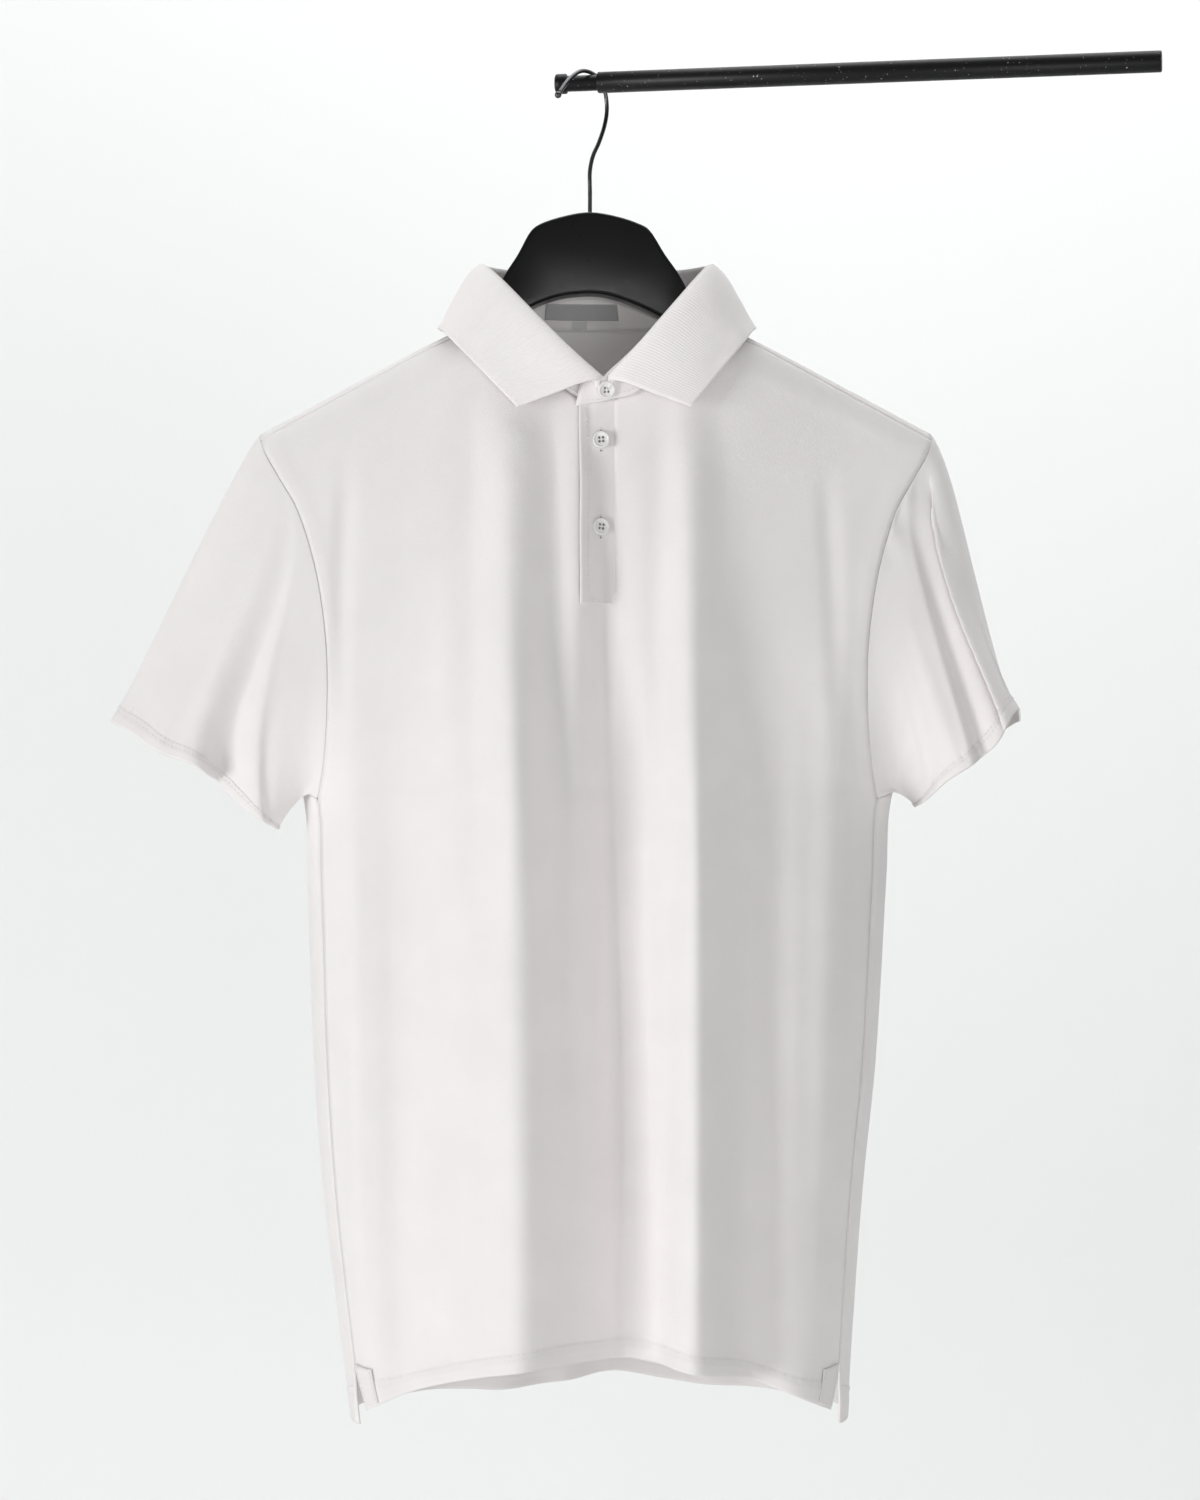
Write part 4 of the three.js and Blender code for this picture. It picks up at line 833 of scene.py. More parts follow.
# %% Details near seams and hems
HEM_BAND = {"deep": 25.0, "raised": 0.8, "edge": 2.5, "pucker": 0.3, "wave": 8.5, "sunk": 0.6}
ARMHOLE_RIDGE = {"at": 6.0, "half": 7.0, "height": 0.55}
FRONT_RUN = {"mm": [0, 27, 267, 632, 670], "rows": [0, 3, 12, 21, 23]}
BACK_RUN = {"mm": [0, 73, 323, 718, 758], "rows": [0, 6, 15, 24, 26]}
FRONT_FLAT = (474.0, 690.0)
BACK_FLAT = (500.0, 760.0)
SLOT = {"left": -4, "right": 17, "bottom": 348}


def hem_height(from_edge, along):
    """A hem's second layer, and the small puckers on both sides of its upper stitches."""
    band = HEM_BAND["raised"] * smooth((HEM_BAND["deep"] + 0.8 - from_edge) / HEM_BAND["edge"])
    band = band - HEM_BAND["sunk"] * (bump((from_edge - 24) / 2.2) + bump((from_edge - 18.5) / 2.2))
    wave = np.sin(along * 2 * np.pi / HEM_BAND["wave"]) + 0.6 * np.sin(along * 2 * np.pi / 21 + 1.3)
    return band + HEM_BAND["pucker"] * wave * bump((from_edge - HEM_BAND["deep"]) / 11)


def front_detail(u, v):
    share = 2 * u - 1
    row = np.interp((1 - v) * FRONT_RUN["mm"][-1], FRONT_RUN["mm"], FRONT_RUN["rows"])
    from_side = (1 - np.abs(share)) * MIDDLE_HALF
    armhole = smooth((UNDERARM_ROW - row) / 1.5) * smooth(row / 1.0)
    ridge = ARMHOLE_RIDGE["height"] * bump((from_side - ARMHOLE_RIDGE["at"]) / ARMHOLE_RIDGE["half"])
    to_hem = np.interp(row, FRONT_RUN["rows"], [0, 27, 267, 632, 670])
    hem = hem_height(FRONT_RUN["mm"][-1] - to_hem, share * MIDDLE_HALF)
    return ridge * armhole + hem * smooth(from_side / 4)


UNDERARM_ROW = ROWS["front_over"] + ROWS["above"]
UNDERARM_BACK_ROW = ROWS["back_over"] + ROWS["above"]


def front_bare(u, v):
    row = np.interp((1 - v) * FRONT_RUN["mm"][-1], FRONT_RUN["mm"], FRONT_RUN["rows"])
    return front_point(2 * u - 1, row)


front_place = lifted(front_bare, front_detail)


def in_slot(x, y, z):
    return SLOT["left"] < x < SLOT["right"] and -z < SLOT["bottom"]


front_panel = cloth_grid("front_panel", 128, 208, front_place, FRONT_FLAT, BODY_CLOTH, drop=in_slot)
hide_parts("front")


# %% The back
def back_bare(u, v):
    row = np.interp((1 - v) * BACK_RUN["mm"][-1], BACK_RUN["mm"], BACK_RUN["rows"])
    return back_point(1 - 2 * u, row)


def back_detail(u, v):
    share = 1 - 2 * u
    row = np.interp((1 - v) * BACK_RUN["mm"][-1], BACK_RUN["mm"], BACK_RUN["rows"])
    from_side = (1 - np.abs(share)) * 230
    armhole = smooth((UNDERARM_BACK_ROW - row) / 1.5) * smooth((row - 3) / 2.0)
    ridge = ARMHOLE_RIDGE["height"] * bump((from_side - ARMHOLE_RIDGE["at"]) / ARMHOLE_RIDGE["half"])
    from_hem = np.interp(ROWS["back_over"] + 20 - row, [0, 2, 11, 20], [0, 40, 435, 685])
    return ridge * armhole + hem_height(from_hem, share * 230) * smooth(from_side / 4)


back_place = lifted(back_bare, back_detail)
back_panel = cloth_grid("back_panel", 132, 214, back_place, BACK_FLAT, BODY_CLOTH)
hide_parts("back")


def outer_area(place, steps=160):
    """The area of a sheet's outer face, in square metres."""
    u, v = np.meshgrid(np.linspace(0, 1, steps), np.linspace(0, 1, steps))
    spots = place(u.ravel(), v.ravel()).reshape(steps, steps, 3) * MM
    a = spots[1:, :-1] - spots[:-1, :-1]
    b = spots[:-1, 1:] - spots[:-1, :-1]
    return float(np.linalg.norm(np.cross(a, b), axis=-1).sum())


print("front area:", outer_area(front_bare), "back area:", outer_area(back_bare))

# %% [markdown]
# ## Sleeves
#
# A set-in sleeve is a tube sewn to the armhole. Here each sleeve leaves the armhole along the panels,
# turns down and meets its oval cuff. The two sleeves hang differently: the wearer's right one has a
# cone-shaped trough below the shoulder tip, and the left one folds over itself in a sharp flap.

# %% The armholes
def edge_of(point, share, inner_share, rows):
    spots = point(share, rows)
    along = np.gradient(spots, axis=0)
    outside = spots - point(inner_share, rows)
    facing = np.cross(along, outside)
    centre = np.array([5.0, 15.0, -60.0]) + spots * np.array([0, 0, 1.0])
    facing *= np.sign(np.sum(facing * (spots - centre), axis=-1))[:, None]
    facing /= np.linalg.norm(facing, axis=-1, keepdims=True)
    out = np.cross(along, facing)
    out *= np.sign(np.sum(out * outside, axis=-1))[:, None]
    out /= np.linalg.norm(out, axis=-1, keepdims=True)
    return spots, out, facing


def armhole(side):
    """The loop from the shoulder tip down the front and up the back, by its share of the way round."""
    down_rows = np.linspace(0, UNDERARM_ROW, 90)
    up_rows = np.linspace(UNDERARM_BACK_ROW, 0, 110)
    down = edge_of(front_point, side * 1.0, side * 0.985, down_rows)
    up = edge_of(back_point, side * 1.0, side * 0.99, up_rows)
    parts = [np.concatenate([a, b[1:]]) for a, b in zip(down, up)]
    turn = len(down_rows) - 1
    parts[0][turn] = (down[0][-1] + up[0][0]) / 2
    parts[1][turn] = (side, 0, 0.6)
    for part in (parts[1], parts[2]):
        for _ in range(6):
            part[1:-1] = (part[:-2] + part[1:-1] + part[2:]) / 3
        ends = (part[0] + part[-1]) / 2
        part[0] = part[-1] = ends
        part /= np.linalg.norm(part, axis=-1, keepdims=True)
    tip = (parts[0][0] + parts[0][-1]) / 2
    parts[0][0] = parts[0][-1] = tip
    steps = np.concatenate([[0], np.cumsum(np.linalg.norm(np.diff(parts[0], axis=0), axis=1))])
    half, whole = steps[turn], steps[-1]
    shares = np.where(steps <= half, 0.5 * steps / half, 0.5 + 0.5 * (steps - half) / (whole - half))
    return shares, parts


def around(shares, values, s):
    s = np.mod(s, 1)
    return np.stack([np.interp(s, shares, values[:, k]) for k in range(3)], axis=-1)


def apart(a, b):
    """The signed distance round the ring from b to a."""
    return np.mod(a - b + 0.5, 1) - 0.5


def near(a, b):
    return np.abs(apart(a, b))


# %% The sleeves' sizes
SLEEVE_LEAVES = {"length": 62, "lost_below": 0.35, "along_top": 0.55}
SLEEVE_ARRIVES = {"length": 70, "lost_below": 0.75}
UNDER_THE_ARM = 0.3
SLEEVE_FLAT = (390.0, 225.0)
SLEEVES = {
    "right": {
        "side": -1, "outer": (-320, 8, -431), "inner": (-209, 10, -503), "depth": 34,
        "trough": {"top": 0.06, "cuff": 0.345, "width": 0.085, "height": 16},
        "lifts": [(0.28, 0.13, 8.5), (0.33, 0.05, 5.0), (0.13, 0.08, 2.5), (0.75, 0.12, 6.0)],
        "creases": [
            # top share, cuff share, half width, height inwards, starts at, sharpness
            (0.07, 0.405, 0.055, -3.2, 0.10, 1.1),
            (0.045, 0.26, 0.050, -3.2, 0.05, 1.1),
            (0.03, 0.150, 0.050, 1.8, 0.25, 1.2),
            (0.16, 0.44, 0.050, 2.0, 0.30, 1.2),
            (0.90, 0.80, 0.060, 7.0, 0.15, 1.1),
            (0.84, 0.68, 0.045, -4.0, 0.25, 1.3),
        ],
    },
    "left": {
        "side": 1, "outer": (286, -6, -431), "inner": (219, 22, -488), "depth": 50,
        "trough": {"top": 0.05, "cuff": 0.215, "width": 0.05, "height": 12},
        "lifts": [(0.10, 0.10, 11.0), (0.33, 0.10, 3.0), (0.75, 0.12, 5.0)],
        "flap": {
            "top": 0.025, "cuff": 0.13, "starts": 0.02, "grown": 0.3, "over": 16.0, "half": 6.5, "out": 4.2,
        },
        "gathers": {"from": 0.03, "to": 0.20, "count": 3, "deep": 1.2, "fade": 0.26},
        "creases": [
            (0.14, 0.30, 0.050, -2.0, 0.20, 1.2),
            (0.17, 0.40, 0.045, 1.8, 0.30, 1.4),
            (0.92, 0.84, 0.060, 8.0, 0.10, 1.1),
            (0.86, 0.70, 0.045, -4.0, 0.25, 1.3),
        ],
    },
}


# %% A sleeve's form
def cuff_at(sleeve, s):
    outer, inner = np.array(sleeve["outer"], float), np.array(sleeve["inner"], float)
    middle = (outer + inner) / 2
    turn = 2 * np.pi * s
    spots = middle + (outer - middle) * np.cos(turn)[:, None]
    spots[:, 1] -= sleeve["depth"] * np.sin(turn)
    for at, width, height in sleeve["lifts"]:
        spots[:, 2] += height * bump(near(s, at) / width)
    return spots, middle


def sleeve_form(sleeve):
    """A sleeve's place by its share round the ring and its share of the way down."""
    side = sleeve["side"]
    shares, (spots, outs, _) = armhole(side)
    length = np.array(sleeve["outer"], float) - np.array(sleeve["inner"], float)
    arrive = np.array([length[2], 0, -length[0]]) * -side
    arrive /= np.linalg.norm(arrive)
    arrive *= -np.sign(arrive[2])

    def form(s, t):
        cuff, middle = cuff_at(sleeve, s)
        out = around(shares, outs, s)
        out /= np.linalg.norm(out, axis=-1, keepdims=True)
        start = around(shares, spots, s) + out * SEAM_GAP
        straight = cuff - start
        straight /= np.linalg.norm(straight, axis=-1, keepdims=True)
        low = bump(near(s, 0.5) / UNDER_THE_ARM)[:, None]
        along = mix(SLEEVE_LEAVES["along_top"], 1, low)
        leave = out * along + straight * (1 - along)
        leave /= np.linalg.norm(leave, axis=-1, keepdims=True)
        leave *= SLEEVE_LEAVES["length"] * (1 - SLEEVE_LEAVES["lost_below"] * low)
        come = arrive * SLEEVE_ARRIVES["length"] * (1 - SLEEVE_ARRIVES["lost_below"] * low)
        w = t[:, None]
        spot = start * (1 + 2 * w) * (1 - w) ** 2 + cuff * w * w * (3 - 2 * w)
        spot += leave * w * (1 - w) ** 2 - come * w * w * (1 - w)
        inwards = middle - cuff
        inwards /= np.linalg.norm(inwards, axis=-1, keepdims=True)
        trough = sleeve["trough"]
        line = mix(trough["top"], trough["cuff"], t ** 0.7)
        depth = trough["height"] * bump(near(s, line) / (trough["width"] * mix(0.4, 1, t))) * t ** 1.2
        for top, at, width, height, starts, sharp in sleeve["creases"]:
            line = mix(top, at, t ** 0.7)
            grown = smooth((t - starts) / (1 - starts)) ** 0.7
            depth = depth + height * grown * bump(near(s, line) / (width * mix(0.5, 1, t))) ** sharp
        return spot + inwards * depth[:, None]

    return form


def flapped(form, sleeve):
    """A fold that laps over itself: a ridge pushed over the valley beside it."""
    flap, gathers = sleeve.get("flap"), sleeve.get("gathers")
    if not flap:
        return form

    def moved(s, t):
        spot = form(s, t)
        across = form(s + 0.004, t) - form(s - 0.004, t)
        across /= np.linalg.norm(across, axis=-1, keepdims=True)
        down = form(s, np.minimum(t + 0.01, 1)) - form(s, np.maximum(t - 0.01, 0))
        facing = np.cross(down, across)
        facing /= np.linalg.norm(facing, axis=-1, keepdims=True)
        facing *= -np.sign(np.sum(facing[:, 1] * np.sin(2 * np.pi * s)))
        away = apart(s, mix(flap["top"], flap["cuff"], t ** 0.8)) * SLEEVE_FLAT[0] / flap["half"]
        grown = smooth((t - flap["starts"]) / flap["grown"])
        over = -away * np.exp(0.5 - away * away / 2)
        out = np.exp(-((away + 1) / 1.6) ** 2 / 2) - 0.6 * np.exp(-((away - 1) / 1.6) ** 2 / 2)
        ring = (np.mod(s, 1) - gathers["from"]) / (gathers["to"] - gathers["from"])
        rucked = np.cos(2 * np.pi * gathers["count"] * ring) * bump(2 * ring - 1)
        rucked = rucked * gathers["deep"] * bump(t / gathers["fade"]) * smooth(t * 25)
        spot += across * (flap["over"] * grown * over)[:, None]
        return spot + facing * (flap["out"] * grown * out + rucked)[:, None]

    return moved


def sleeve_places(sleeve):
    form = flapped(sleeve_form(sleeve), sleeve)
    turned = sleeve["side"] > 0

    def bare(u, v):
        return form(1 - u if turned else u, 1 - v)

    def detail(u, v):
        return hem_height(v * SLEEVE_FLAT[1], u * SLEEVE_FLAT[0]) * smooth(v * SLEEVE_FLAT[1] / 1.5)

    return bare, lifted(bare, detail)


SLEEVE_PLACES = {}
for side_name, sleeve in SLEEVES.items():
    bare, place = sleeve_places(sleeve)
    SLEEVE_PLACES[side_name] = place
    piece = cloth_grid(f"sleeve_tube_{side_name}", 190, 84, place, SLEEVE_FLAT, BODY_CLOTH, ring=True)
    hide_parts(f"sleeve_{side_name}")
    sleeve["piece"] = piece
    print(side_name, "sleeve area:", outer_area(bare))

# %% [markdown]
# ## Collar
#
# A polo collar is a band, the stand, sewn to the neckline, with a leaf folded down over it. The leaf's
# grid rolls over the fold into the neck, so the two pieces meet as one fold. The leaf is a firmer rib.

# %% The collar's lines
COLLAR = table("turn edge_half edge_y edge_down fold_half fold_y fold_down", [
    (0, 0, 47, 177, 0, 40, 127), (45, 77, 37, 175, 55, 29, 126.5),
    (80, 102, 12, 170, 76, 7, 126), (100, 106, -10, 170, 76, -9, 127.5),
    (115, 102, -25, 174, 70, -21, 134), (130, 95.5, -36, 182, 59, -32, 146),
    (155, 77, -46, 203, 32, -44, 175), (180, 57, -53, 226, 2.5, -49, 205.5),
])
COLLAR_MIDDLE = {"back": 2.5, "front": 9.3}
LEAF_FULLNESS = {"out": 2.4, "up": 0.9}
LEAF_ROLL = {"share": 0.16, "radius": 2.2, "tail": 7.0, "lowered": 1.9}
STAND = {"cloth": 1.5, "lap": 9.0, "foot_gap": 0.2, "inside": 2.3, "below": 0.8, "round": 0.38}
STAND_LAP = {"from": 160.0, "fold_gap": 2.5, "over": 1.4, "under": 1.3, "foot_over": 3.6,
             "end_x": -5.1, "end_down": 224.1, "slant": 0.193, "slant_ends": 50.0, "slant_blend": 26.0}
LEAF_FLAT = (455.0, 78.0)
STAND_FLAT = (440.0, 34.0)


def collar_lines(turn, side):
    middle = mix(COLLAR_MIDDLE["back"], COLLAR_MIDDLE["front"], (turn / 180) ** 2)
    column = {name: read(COLLAR, "turn", name, turn) for name in COLLAR if name != "turn"}
    way = np.stack([side * np.sin(np.radians(turn)), np.cos(np.radians(turn)), 0 * turn], axis=-1)
    fold = np.stack([middle + side * column["fold_half"], column["fold_y"], -column["fold_down"]], axis=-1)
    edge = np.stack([middle + side * column["edge_half"], column["edge_y"], -column["edge_down"]], axis=-1)
    return fold, edge, way


def leaf_place(u, v):
    """v from 0 at the leaf's edge to the fold, then over the roll and down inside."""
    angle = (2 * u - 1) * 180
    fold, edge, way = collar_lines(np.abs(angle), np.where(angle < 0, 1, -1))
    share = LEAF_ROLL["share"]
    h = np.clip((1 - share - v) / (1 - share), 0, 1)
    full = np.sin(np.pi * np.sqrt(h))[:, None]
    fold[:, 2] -= LEAF_ROLL["lowered"]
    start = fold + way * LEAF_ROLL["radius"]
    outside = mix(start, edge, h[:, None]) + way * LEAF_FULLNESS["out"] * full
    outside[:, 2] += LEAF_FULLNESS["up"] * full[:, 0] + 0.8 * np.sin(h * 3) * bump((h - 0.2) / 0.3)
    past = np.clip((v - (1 - share)) / share, 0, 1)
    rolled = np.clip(past / 0.6, 0, 1) * np.pi
    radius = LEAF_ROLL["radius"]
    over = fold + way * (radius * np.cos(rolled))[:, None]
    over[:, 2] += radius * np.sin(rolled)
    over[:, 2] -= LEAF_ROLL["tail"] * np.clip((past - 0.6) / 0.4, 0, 1)
    return np.where((v > 1 - share)[:, None], over, outside)


def leaf_detail(u, v):
    """The leaf's edge is a little thicker, and its face waves softly."""
    along = u * LEAF_FLAT[0]
    up = v * LEAF_FLAT[1]
    rim = 0.35 * bump((up - 1.5) / 2.5)
    wave = 0.5 * np.sin(along / 19 + 0.7) * bump((up - 22) / 26)
    wave += 0.35 * np.sin(along / 8.3) * bump((up - 8) / 10)
    return rim + wave * smooth(np.minimum(u, 1 - u) / 0.04)


leaf = cloth_grid("collar_fall", 190, 34, lifted(leaf_place, leaf_detail), LEAF_FLAT, RIB_CLOTH,
                  thick=COLLAR_CLOTH)
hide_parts("collar_leaf")


# %% The stand
def neck_foot(turn, side):
    """The neckline on the panels' own top edges."""
    on_back = back_point(side * NECK_SHARE * np.minimum(turn / NECK_SEAM_TURN, 1), 0.0)
    x = NECK_X + side * NECK_RING_HALF * np.sin(np.radians(turn))
    down = ridge_down(x) + fall_after(front_top_arc(x) + SHOULDER_SEAM_GAP / 2, x)
    on_front = np.stack([x, front_y(x, down), -down], axis=-1)
    return np.where((turn <= NECK_SEAM_TURN)[:, None], on_back, on_front)


def stand_at(t, h):
    past = np.abs(t) > 180
    turn = np.where(past, 360 - np.abs(t), np.abs(t))
    hand = np.where((t < 0) != past, 1, -1)
    fold, _, way = collar_lines(turn, hand)
    lap = smooth((turn - STAND_LAP["from"]) / (180 - STAND_LAP["from"]))
    fold[:, 0] -= hand * STAND_LAP["fold_gap"] * lap
    foot = neck_foot(turn, hand)
    slant = STAND_LAP["slant"] * (foot[:, 0] - STAND_LAP["end_x"]) - STAND_LAP["end_down"]
    within = smooth((STAND_LAP["slant_ends"] - foot[:, 0]) / STAND_LAP["slant_blend"])
    drop = np.where(t < 0, np.clip(foot[:, 2] - slant, 0, None) * within, 0) * (np.abs(t) > 120)
    way[:, 0] *= 1 - lap
    foot[:, 2] -= drop
    foot[:, 1] = np.where(drop > 0, front_y(foot[:, 0], -foot[:, 2]), foot[:, 1])
    rise = fold - foot
    rise /= np.linalg.norm(rise, axis=-1, keepdims=True)
    foot = foot + rise * STAND["foot_gap"]
    head = fold - way * STAND["inside"]
    head[:, 2] -= STAND["below"]
    rounded = np.where(past, 1 - STAND["round"] * ((np.abs(t) - 180) / STAND["lap"]) ** 3, 1)
    spots = mix(foot, head, (h * rounded)[:, None])
    lapped = smooth((np.abs(t) - STAND_LAP["from"]) / (180 - STAND_LAP["from"]))
    over = mix(STAND_LAP["foot_over"], STAND_LAP["over"], h)
    spots[:, 1] += lapped * np.where(t < 0, -over, STAND_LAP["under"])
    spots[:, 1] -= STAND_LAP["foot_over"] * smooth(drop / 3) * (1 - lapped) * (1 - h)
    return spots


def stand_place(u, v):
    return stand_at((2 * u - 1) * (180 + STAND["lap"]), v)


stand = cloth_grid("collar_band", 170, 14, stand_place, STAND_FLAT, BAND_CLOTH, thick=STAND["cloth"])
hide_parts("collar_stand")
print("leaf area:", outer_area(leaf_place), "stand area:", outer_area(stand_place))

# %% [markdown]
# ## Placket, tapes, labels and patch
#
# The placket is a strip folded from the same cloth and stitched over the slot. Its free edge stands a
# little off the shirt. Each piece laid on a panel is made from the panel's own places, moved out.

# %% The placket
PLACKET = {"left": -7.2, "right": 21.0, "bottom": 355.0, "lift": CLOTH + SEAM_GAP}
UNDER_PLACKET = {"left": -6.4, "right": 20.0, "bottom": 352.0, "lift": -CLOTH - SEAM_GAP}
PLACKET_FLAT = (28.5, 148.0)
STRIP_START = -1.2


def strip_place(strip):
    """A strip down the centre front, from the neckline to its own foot."""
    def place(u, v):
        x = mix(strip["left"], strip["right"], u)
        start = ridge_down(x) + fall_after(front_top_arc(x) + SHOULDER_SEAM_GAP / 2, x) + STRIP_START
        down = mix(strip["bottom"], start, v)
        return np.stack([x, front_y(x, down), -down], axis=-1)
    return place


def placket_height(u, v):
    """The free left edge lifts and rolls, and the far side sinks softly into the panel."""
    across = u * PLACKET_FLAT[0]
    up = v * PLACKET_FLAT[1]
    free = 2.4 * smooth((8.0 - across) / 8.0) * (0.8 + 0.2 * np.sin(up / 11))
    dips = 0.4 * (bump((across - 2.6) / 1.1) + bump((up - 3.0) / 1.4))
    sunk = 1 - smooth((across - 9) / (PLACKET_FLAT[0] - 9))
    return (PLACKET["lift"] + 0.7) * sunk + free - dips - 0.4


upper_bare = strip_place(PLACKET)
upper_place = lifted(upper_bare, placket_height)
upper = cloth_grid("placket_top", 26, 104, upper_place, PLACKET_FLAT, BAND_CLOTH)
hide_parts("placket_upper")

under_bare = strip_place(UNDER_PLACKET)
under = cloth_grid("placket_below", 20, 90, lifted(under_bare, UNDER_PLACKET["lift"]), PLACKET_FLAT,
                   BAND_CLOTH)
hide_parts("placket_under")

# %% Vent tapes
TAPE = {"outer": 0.986, "inner": 0.895, "top": 21.05, "foot": 22.86, "lift": TRIM_CLOTH + SEAM_GAP}
TAPE_FLAT = (14.0, 31.0)
TAPES = {"right": -1, "left": 1}


def tape_place(side):
    def bare(u, v):
        share = mix(TAPE["inner"], TAPE["outer"], u if side > 0 else 1 - u)
        return front_point(side * share, mix(TAPE["foot"], TAPE["top"], v))
    return bare


for side_name, side in TAPES.items():
    bare = tape_place(side)
    piece = cloth_grid(f"vent_strip_{side_name}", 14, 26, lifted(bare, TAPE["lift"] + 0.5), TAPE_FLAT,
                       BAND_CLOTH, thick=TRIM_CLOTH)
    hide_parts(f"vent_tape_{side_name}")

# %% Labels inside the stand
LABELS = {
    "neck_label": {
        "turns": (-10.9, 24.4), "heights": (0.17, 0.45), "flat": (51.0, 12.0), "cloth": LABEL_CLOTH,
    },
    "size_tab": {
        "turns": (4.1, 10.9), "heights": (0.017, 0.15), "flat": (10.0, 6.5), "cloth": TAB_CLOTH,
    },
}


def label_place(spec):
    def bare(u, v):
        return stand_at(mix(*spec["turns"], u), mix(*spec["heights"], v))
    return bare


def inside_of(place, depth):
    """The sheet's inner side, turned to face the neck."""
    def moved(u, v):
        return place(1 - u, v) - normals_of(place, 1 - u, v) * depth
    return moved


for label_name, spec in LABELS.items():
    depth = STAND["cloth"] + SEAM_GAP + TRIM_CLOTH
    piece = cloth_grid(f"{label_name}_woven", 40, 16, inside_of(label_place(spec), depth), spec["flat"],
                       spec["cloth"], thick=TRIM_CLOTH)
    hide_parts(label_name)

# %% The patch on the left sleeve
PATCH = {"shares": (0.907, 0.977), "down": (0.82, 0.97), "flat": (16.0, 21.0)}
left_form = flapped(sleeve_form(SLEEVES["left"]), SLEEVES["left"])


def patch_bare(u, v):
    return left_form(mix(*PATCH["shares"], 1 - u), mix(*PATCH["down"], 1 - v))


patch = cloth_grid("sleeve_patch_woven", 20, 24, lifted(patch_bare, TRIM_CLOTH + SEAM_GAP + 0.3),
                   PATCH["flat"], PATCH_CLOTH, thick=TRIM_CLOTH)
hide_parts("sleeve_patch")

# %% [markdown]
# ## Buttons
#
# A shirt button is turned from a rod of resin: a raised rim, a dished face and four holes. A profile
# is spun round its axis, and four drills are cut from it. The thread crosses the holes in two bars, and
# a dark piece sunk in each hole is painted shade.

# %% One button
BUTTON = {"radius": 5.7, "thick": 2.6, "rim": 1.1, "hole": 0.9, "hole_at": 1.75}


def button_profile():
    r, t, rim = BUTTON["radius"], BUTTON["thick"], BUTTON["rim"]
    return [
        (0, 0), (r * 0.85, 0), (r - 0.25, 0.35), (r, 0.8), (r, t - 0.7), (r - 0.15, t - 0.25), (r - 0.5, t),
        (r - rim, t - 0.02), (r - rim - 0.35, t - 0.35), (r - rim - 0.8, t - 0.55), (0, t - 0.6),
    ]


def spun(profile, steps):
    """A closed solid of revolution round Z, from its radii and heights."""
    bm = bmesh.new()
    verts = [bm.verts.new((r * MM, 0, z * MM)) for r, z in profile]
    edges = [bm.edges.new(pair) for pair in zip(verts, verts[1:])]
    bmesh.ops.spin(bm, geom=verts + edges, cent=(0, 0, 0), axis=(0, 0, 1), dvec=(0, 0, 0), angle=2 * math.pi,
                   steps=steps, use_merge=True)
    bmesh.ops.remove_doubles(bm, verts=bm.verts[:], dist=1e-6)
    bmesh.ops.recalc_face_normals(bm, faces=bm.faces[:])
    return bm


def as_object(bm, name):
    mesh = bpy.data.meshes.new(name)
    bm.to_mesh(mesh)
    bm.free()
    made = bpy.data.objects.new(name, mesh)
    bpy.context.scene.collection.objects.link(made)
    return made


def drilled_button():
    """The button's mesh with its four holes, face up along Z."""
    blank = as_object(spun(button_profile(), 40), "button_blank")
    drills = bmesh.new()
    for k in range(4):
        turn = math.pi / 4 + k * math.pi / 2
        away = BUTTON["hole_at"] * MM
        at = Matrix.Translation((away * math.cos(turn), away * math.sin(turn), BUTTON["thick"] / 2 * MM))
        bmesh.ops.create_cone(drills, cap_ends=True, segments=14, radius1=BUTTON["hole"] * MM,
                              radius2=BUTTON["hole"] * MM, depth=3 * BUTTON["thick"] * MM, matrix=at)
    drill = as_object(drills, "button_drill")
    cut = blank.modifiers.new("holes", "BOOLEAN")
    cut.operation = "DIFFERENCE"
    cut.solver = "EXACT"
    cut.object = drill
    shaped = blank.evaluated_get(bpy.context.evaluated_depsgraph_get())
    mesh = bpy.data.meshes.new_from_object(shaped)
    for spare in (blank, drill):
        bpy.data.objects.remove(spare)
    return mesh


def turned_to(spot, facing, up=(0, 0, 1)):
    """The matrix that stands a piece on a spot, its Z along facing and its Y kept upright."""
    z = Vector(facing).normalized()
    x = Vector(up).cross(z).normalized()
    y = z.cross(x)
    matrix = Matrix((x, y, z)).transposed().to_4x4()
    matrix.translation = Vector(spot) * MM
    return matrix


BUTTON_MESH = drilled_button()
print("button faces:", len(BUTTON_MESH.polygons))


# %% The three buttons and their thread
def front_at(x, down):
    x, down = np.atleast_1d(np.asarray(x, float)), np.atleast_1d(np.asarray(down, float))
    return np.stack([x, front_y(x, down), -down], axis=-1)


def front_normal(x, down, step=6.0):
    across = front_at(x + step, down) - front_at(x - step, down)
    up = front_at(x, down - step) - front_at(x, down + step)
    normal = np.cross(across, up)
    return normal / np.linalg.norm(normal, axis=-1, keepdims=True)


def stand_spot(x, h):
    """The place on the lapped end of the stand with that x, and the way out of it."""
    turns = np.linspace(-188, -168, 81)
    line = stand_at(turns, np.full(81, h))
    t = float(turns[np.argmin(np.abs(line[:, 0] - x))])
    u = np.array([(1 + t / (180 + STAND["lap"])) / 2])
    v = np.array([h])
    return stand_place(u, v)[0], normals_of(stand_place, u, v)[0]


